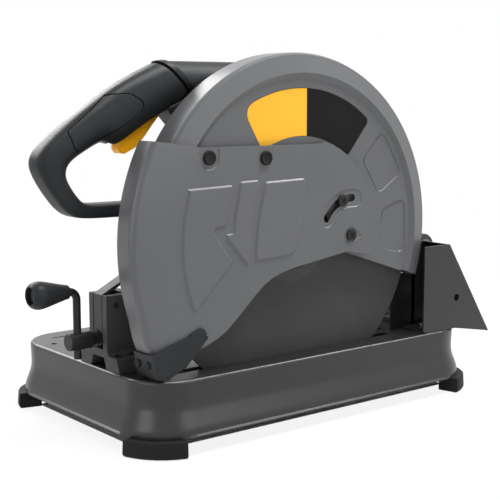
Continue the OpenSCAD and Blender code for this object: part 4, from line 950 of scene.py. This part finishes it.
# %% [markdown]
# ## Neck
# A moulded tube runs from the grip back to the motor. The construction solid is faceted, so its copy is remeshed
# into small even faces and relaxed. A proud collar covers the joint with the grip, and a web under the neck closes
# the corner behind the trigger.

# %% Neck and collar
NECK_CELL = 1.4
neck = copy_of("handle_neck", "handle_neck_moulded")
apply(neck, "REMESH", mode="VOXEL", voxel_size=NECK_CELL * MM)
apply(neck, "SMOOTH", factor=0.5, iterations=10)
smooth(neck, 60, weighted=False)
seat(neck, "head", "plastic", "handle_neck")
COLLAR_RIBS = [((-140.5, 308.0), (-106.5, 276.5), 18.0, 2.4), ((-142.2, 310.9), (-104.3, 274.2), 20.6, 2.4),
               ((-134.2, 312.0), (-100.0, 276.8), 20.6, 2.4), ((-132.4, 309.0), (-101.0, 280.0), 18.0, 2.4)]
collar = loft("neck_collar", [handle_ring(*rib, 64) for rib in COLLAR_RIBS], 0)
round_edges(collar, 0.6, 3, 40)
smooth(collar, 40)
seat(collar, "head", "plastic")
print("neck", len(neck.data.polygons), "collar", len(collar.data.polygons), "faces")

# %% Web under the neck
WEB = [(-137.0, 264.0), (-134.3, 258.4), (-123.0, 246.2), (-112.0, 238.0), (-98.0, 240.0), (-92.0, 262.0),
       (-98.0, 282.0), (-118.0, 272.0)]
web = prism("neck_web", WEB, HANDLE_Y - 15, HANDLE_Y + 15)
round_edges(web, 3, 4, 30)
smooth(web, 40)
seat(web, "head", "plastic")
print("web", len(web.data.polygons), "faces")

# %% [markdown]
# ## Vice screw
# A thread is a profile that climbs as it turns, which is what the Screw modifier does. Rings side by side would look
# alike from afar, but would not climb. A turned boss and a tail close the two ends.

# %% Thread
PITCH, THREAD_X0, TURNS, BOSS_X0, TAIL_X0 = 4.0, -220.0, 51, -244.0, -18.5
THREAD = [(0.0, 6.3), (1.1, 6.3), (1.75, 8.0), (2.75, 8.0), (3.4, 6.3), (PITCH, 6.3)]
BOSS = [(0, 0), (0, 8.0), (0.5, 8.7), (1.2, 9.0), (24.6, 9.0), (25.5, 8.6), (26, 8.0), (26, 0)]
TAIL = [(0, 0), (0, 6.0), (29, 6.0), (29.6, 5.6), (30, 5.0), (30, 0)]
mesh = bpy.data.meshes.new("thread_profile")
mesh.from_pydata([((THREAD_X0 + x) * MM, 0, r * MM) for x, r in THREAD],
                 [(k, k + 1) for k in range(len(THREAD) - 1)], [])
screw = new_piece("vice_screw_threaded", mesh)
apply(screw, "SCREW", axis="X", angle=2 * math.pi, screw_offset=PITCH * MM, iterations=TURNS, steps=20,
      render_steps=20, use_merge_vertices=True, merge_threshold=SEAM_GAP)
bpy.ops.object.mode_set(mode="EDIT")
bpy.ops.mesh.select_all(action="SELECT")
bpy.ops.mesh.remove_doubles(threshold=SEAM_GAP)
bpy.ops.mesh.fill_holes(sides=0)
bpy.ops.mesh.normals_make_consistent(inside=False)
bpy.ops.transform.translate(value=(0, SCREW_Y * MM, SCREW_Z * MM))
bpy.ops.object.mode_set(mode="OBJECT")
boss = turned("screw_boss", BOSS, BOSS_X0, SCREW_Y, SCREW_Z)
tail = turned("screw_tail", TAIL, TAIL_X0, SCREW_Y, SCREW_Z)
join(screw, boss, tail)
smooth(screw, 30)
seat(screw, "screw", "black_steel", "vice_screw")
print("screw", len(screw.data.polygons), "faces")

# %% [markdown]
# ## Knob
# The crank's knob is turned and open at both ends, so its closed profile is spun about the rod. A loft of rings would
# do as well, but the profile is easier to read.

# %% Knob
KNOB_X, KNOB_Z = -243.0, 156.5
KNOB_PROFILE = [(0, 4.1), (0, 6.6), (-0.5, 7.1), (-3, 7.5), (-9, 8.9), (-15, 10.4), (-21, 11.9), (-26, 13.1),
                (-30, 13.8), (-33, 14.0), (-36, 13.7), (-38.5, 12.8), (-40.4, 11.5), (-41.6, 10.2), (-42, 9.4),
                (-41.8, 8.9), (-41, 8.6), (-35.7, 8.4), (-35.7, 4.1)]
knob = turned("crank_knob_turned", KNOB_PROFILE + KNOB_PROFILE[:1], KNOB_X, SCREW_Y, KNOB_Z, 48)
smooth(knob, 40)
seat(knob, "knob", slot_of["crank_knob"], "crank_knob")
print("knob", len(knob.data.polygons), "faces")

# %% [markdown]
# ## Return spring
# The spring that lifts the head is one wire: a leg, four curls and a second leg. A curve with a round bevel follows
# such a path, and it is made a mesh at the end.

# %% Return spring
PIVOT_X, PIVOT_Z = 219.0, 166.5
COIL_R, WIRE_R, COIL_PITCH, COIL_Y0, COIL_TURNS = 13.0, 1.5, 4.0, -52.5, 4
first = 180
last = first + 360 * COIL_TURNS + 90


def coil_point(angle):
    a = math.radians(angle)
    return Vector((PIVOT_X + COIL_R * math.cos(a), COIL_Y0 + COIL_PITCH * (angle - first) / 360,
                   PIVOT_Z + COIL_R * math.sin(a)))


wire = [coil_point(first) + Vector((0, 0, z)) for z in (20, 13, 6)]
wire += [coil_point(first + step) for step in range(0, last - first + 1, 10)]
wire += [coil_point(last) - Vector((x, 0, 0)) for x in (8, 16, 25)]
curve = bpy.data.curves.new("spring_wire", "CURVE")
curve.dimensions = "3D"
curve.bevel_depth = WIRE_R * MM
curve.bevel_resolution = 3
curve.use_fill_caps = True
spline = curve.splines.new("POLY")
spline.points.add(len(wire) - 1)
for point, place in zip(spline.points, wire):
    point.co = (*(place * MM), 1)
spring = new_piece("return_spring_wire", curve)
bpy.ops.object.convert(target="MESH")
spring = bpy.context.object
weld(spring)
smooth(spring, 50, weighted=False)
seat(spring, "base", slot_of["return_spring"], "return_spring")
print("spring", len(spring.data.polygons), "faces")
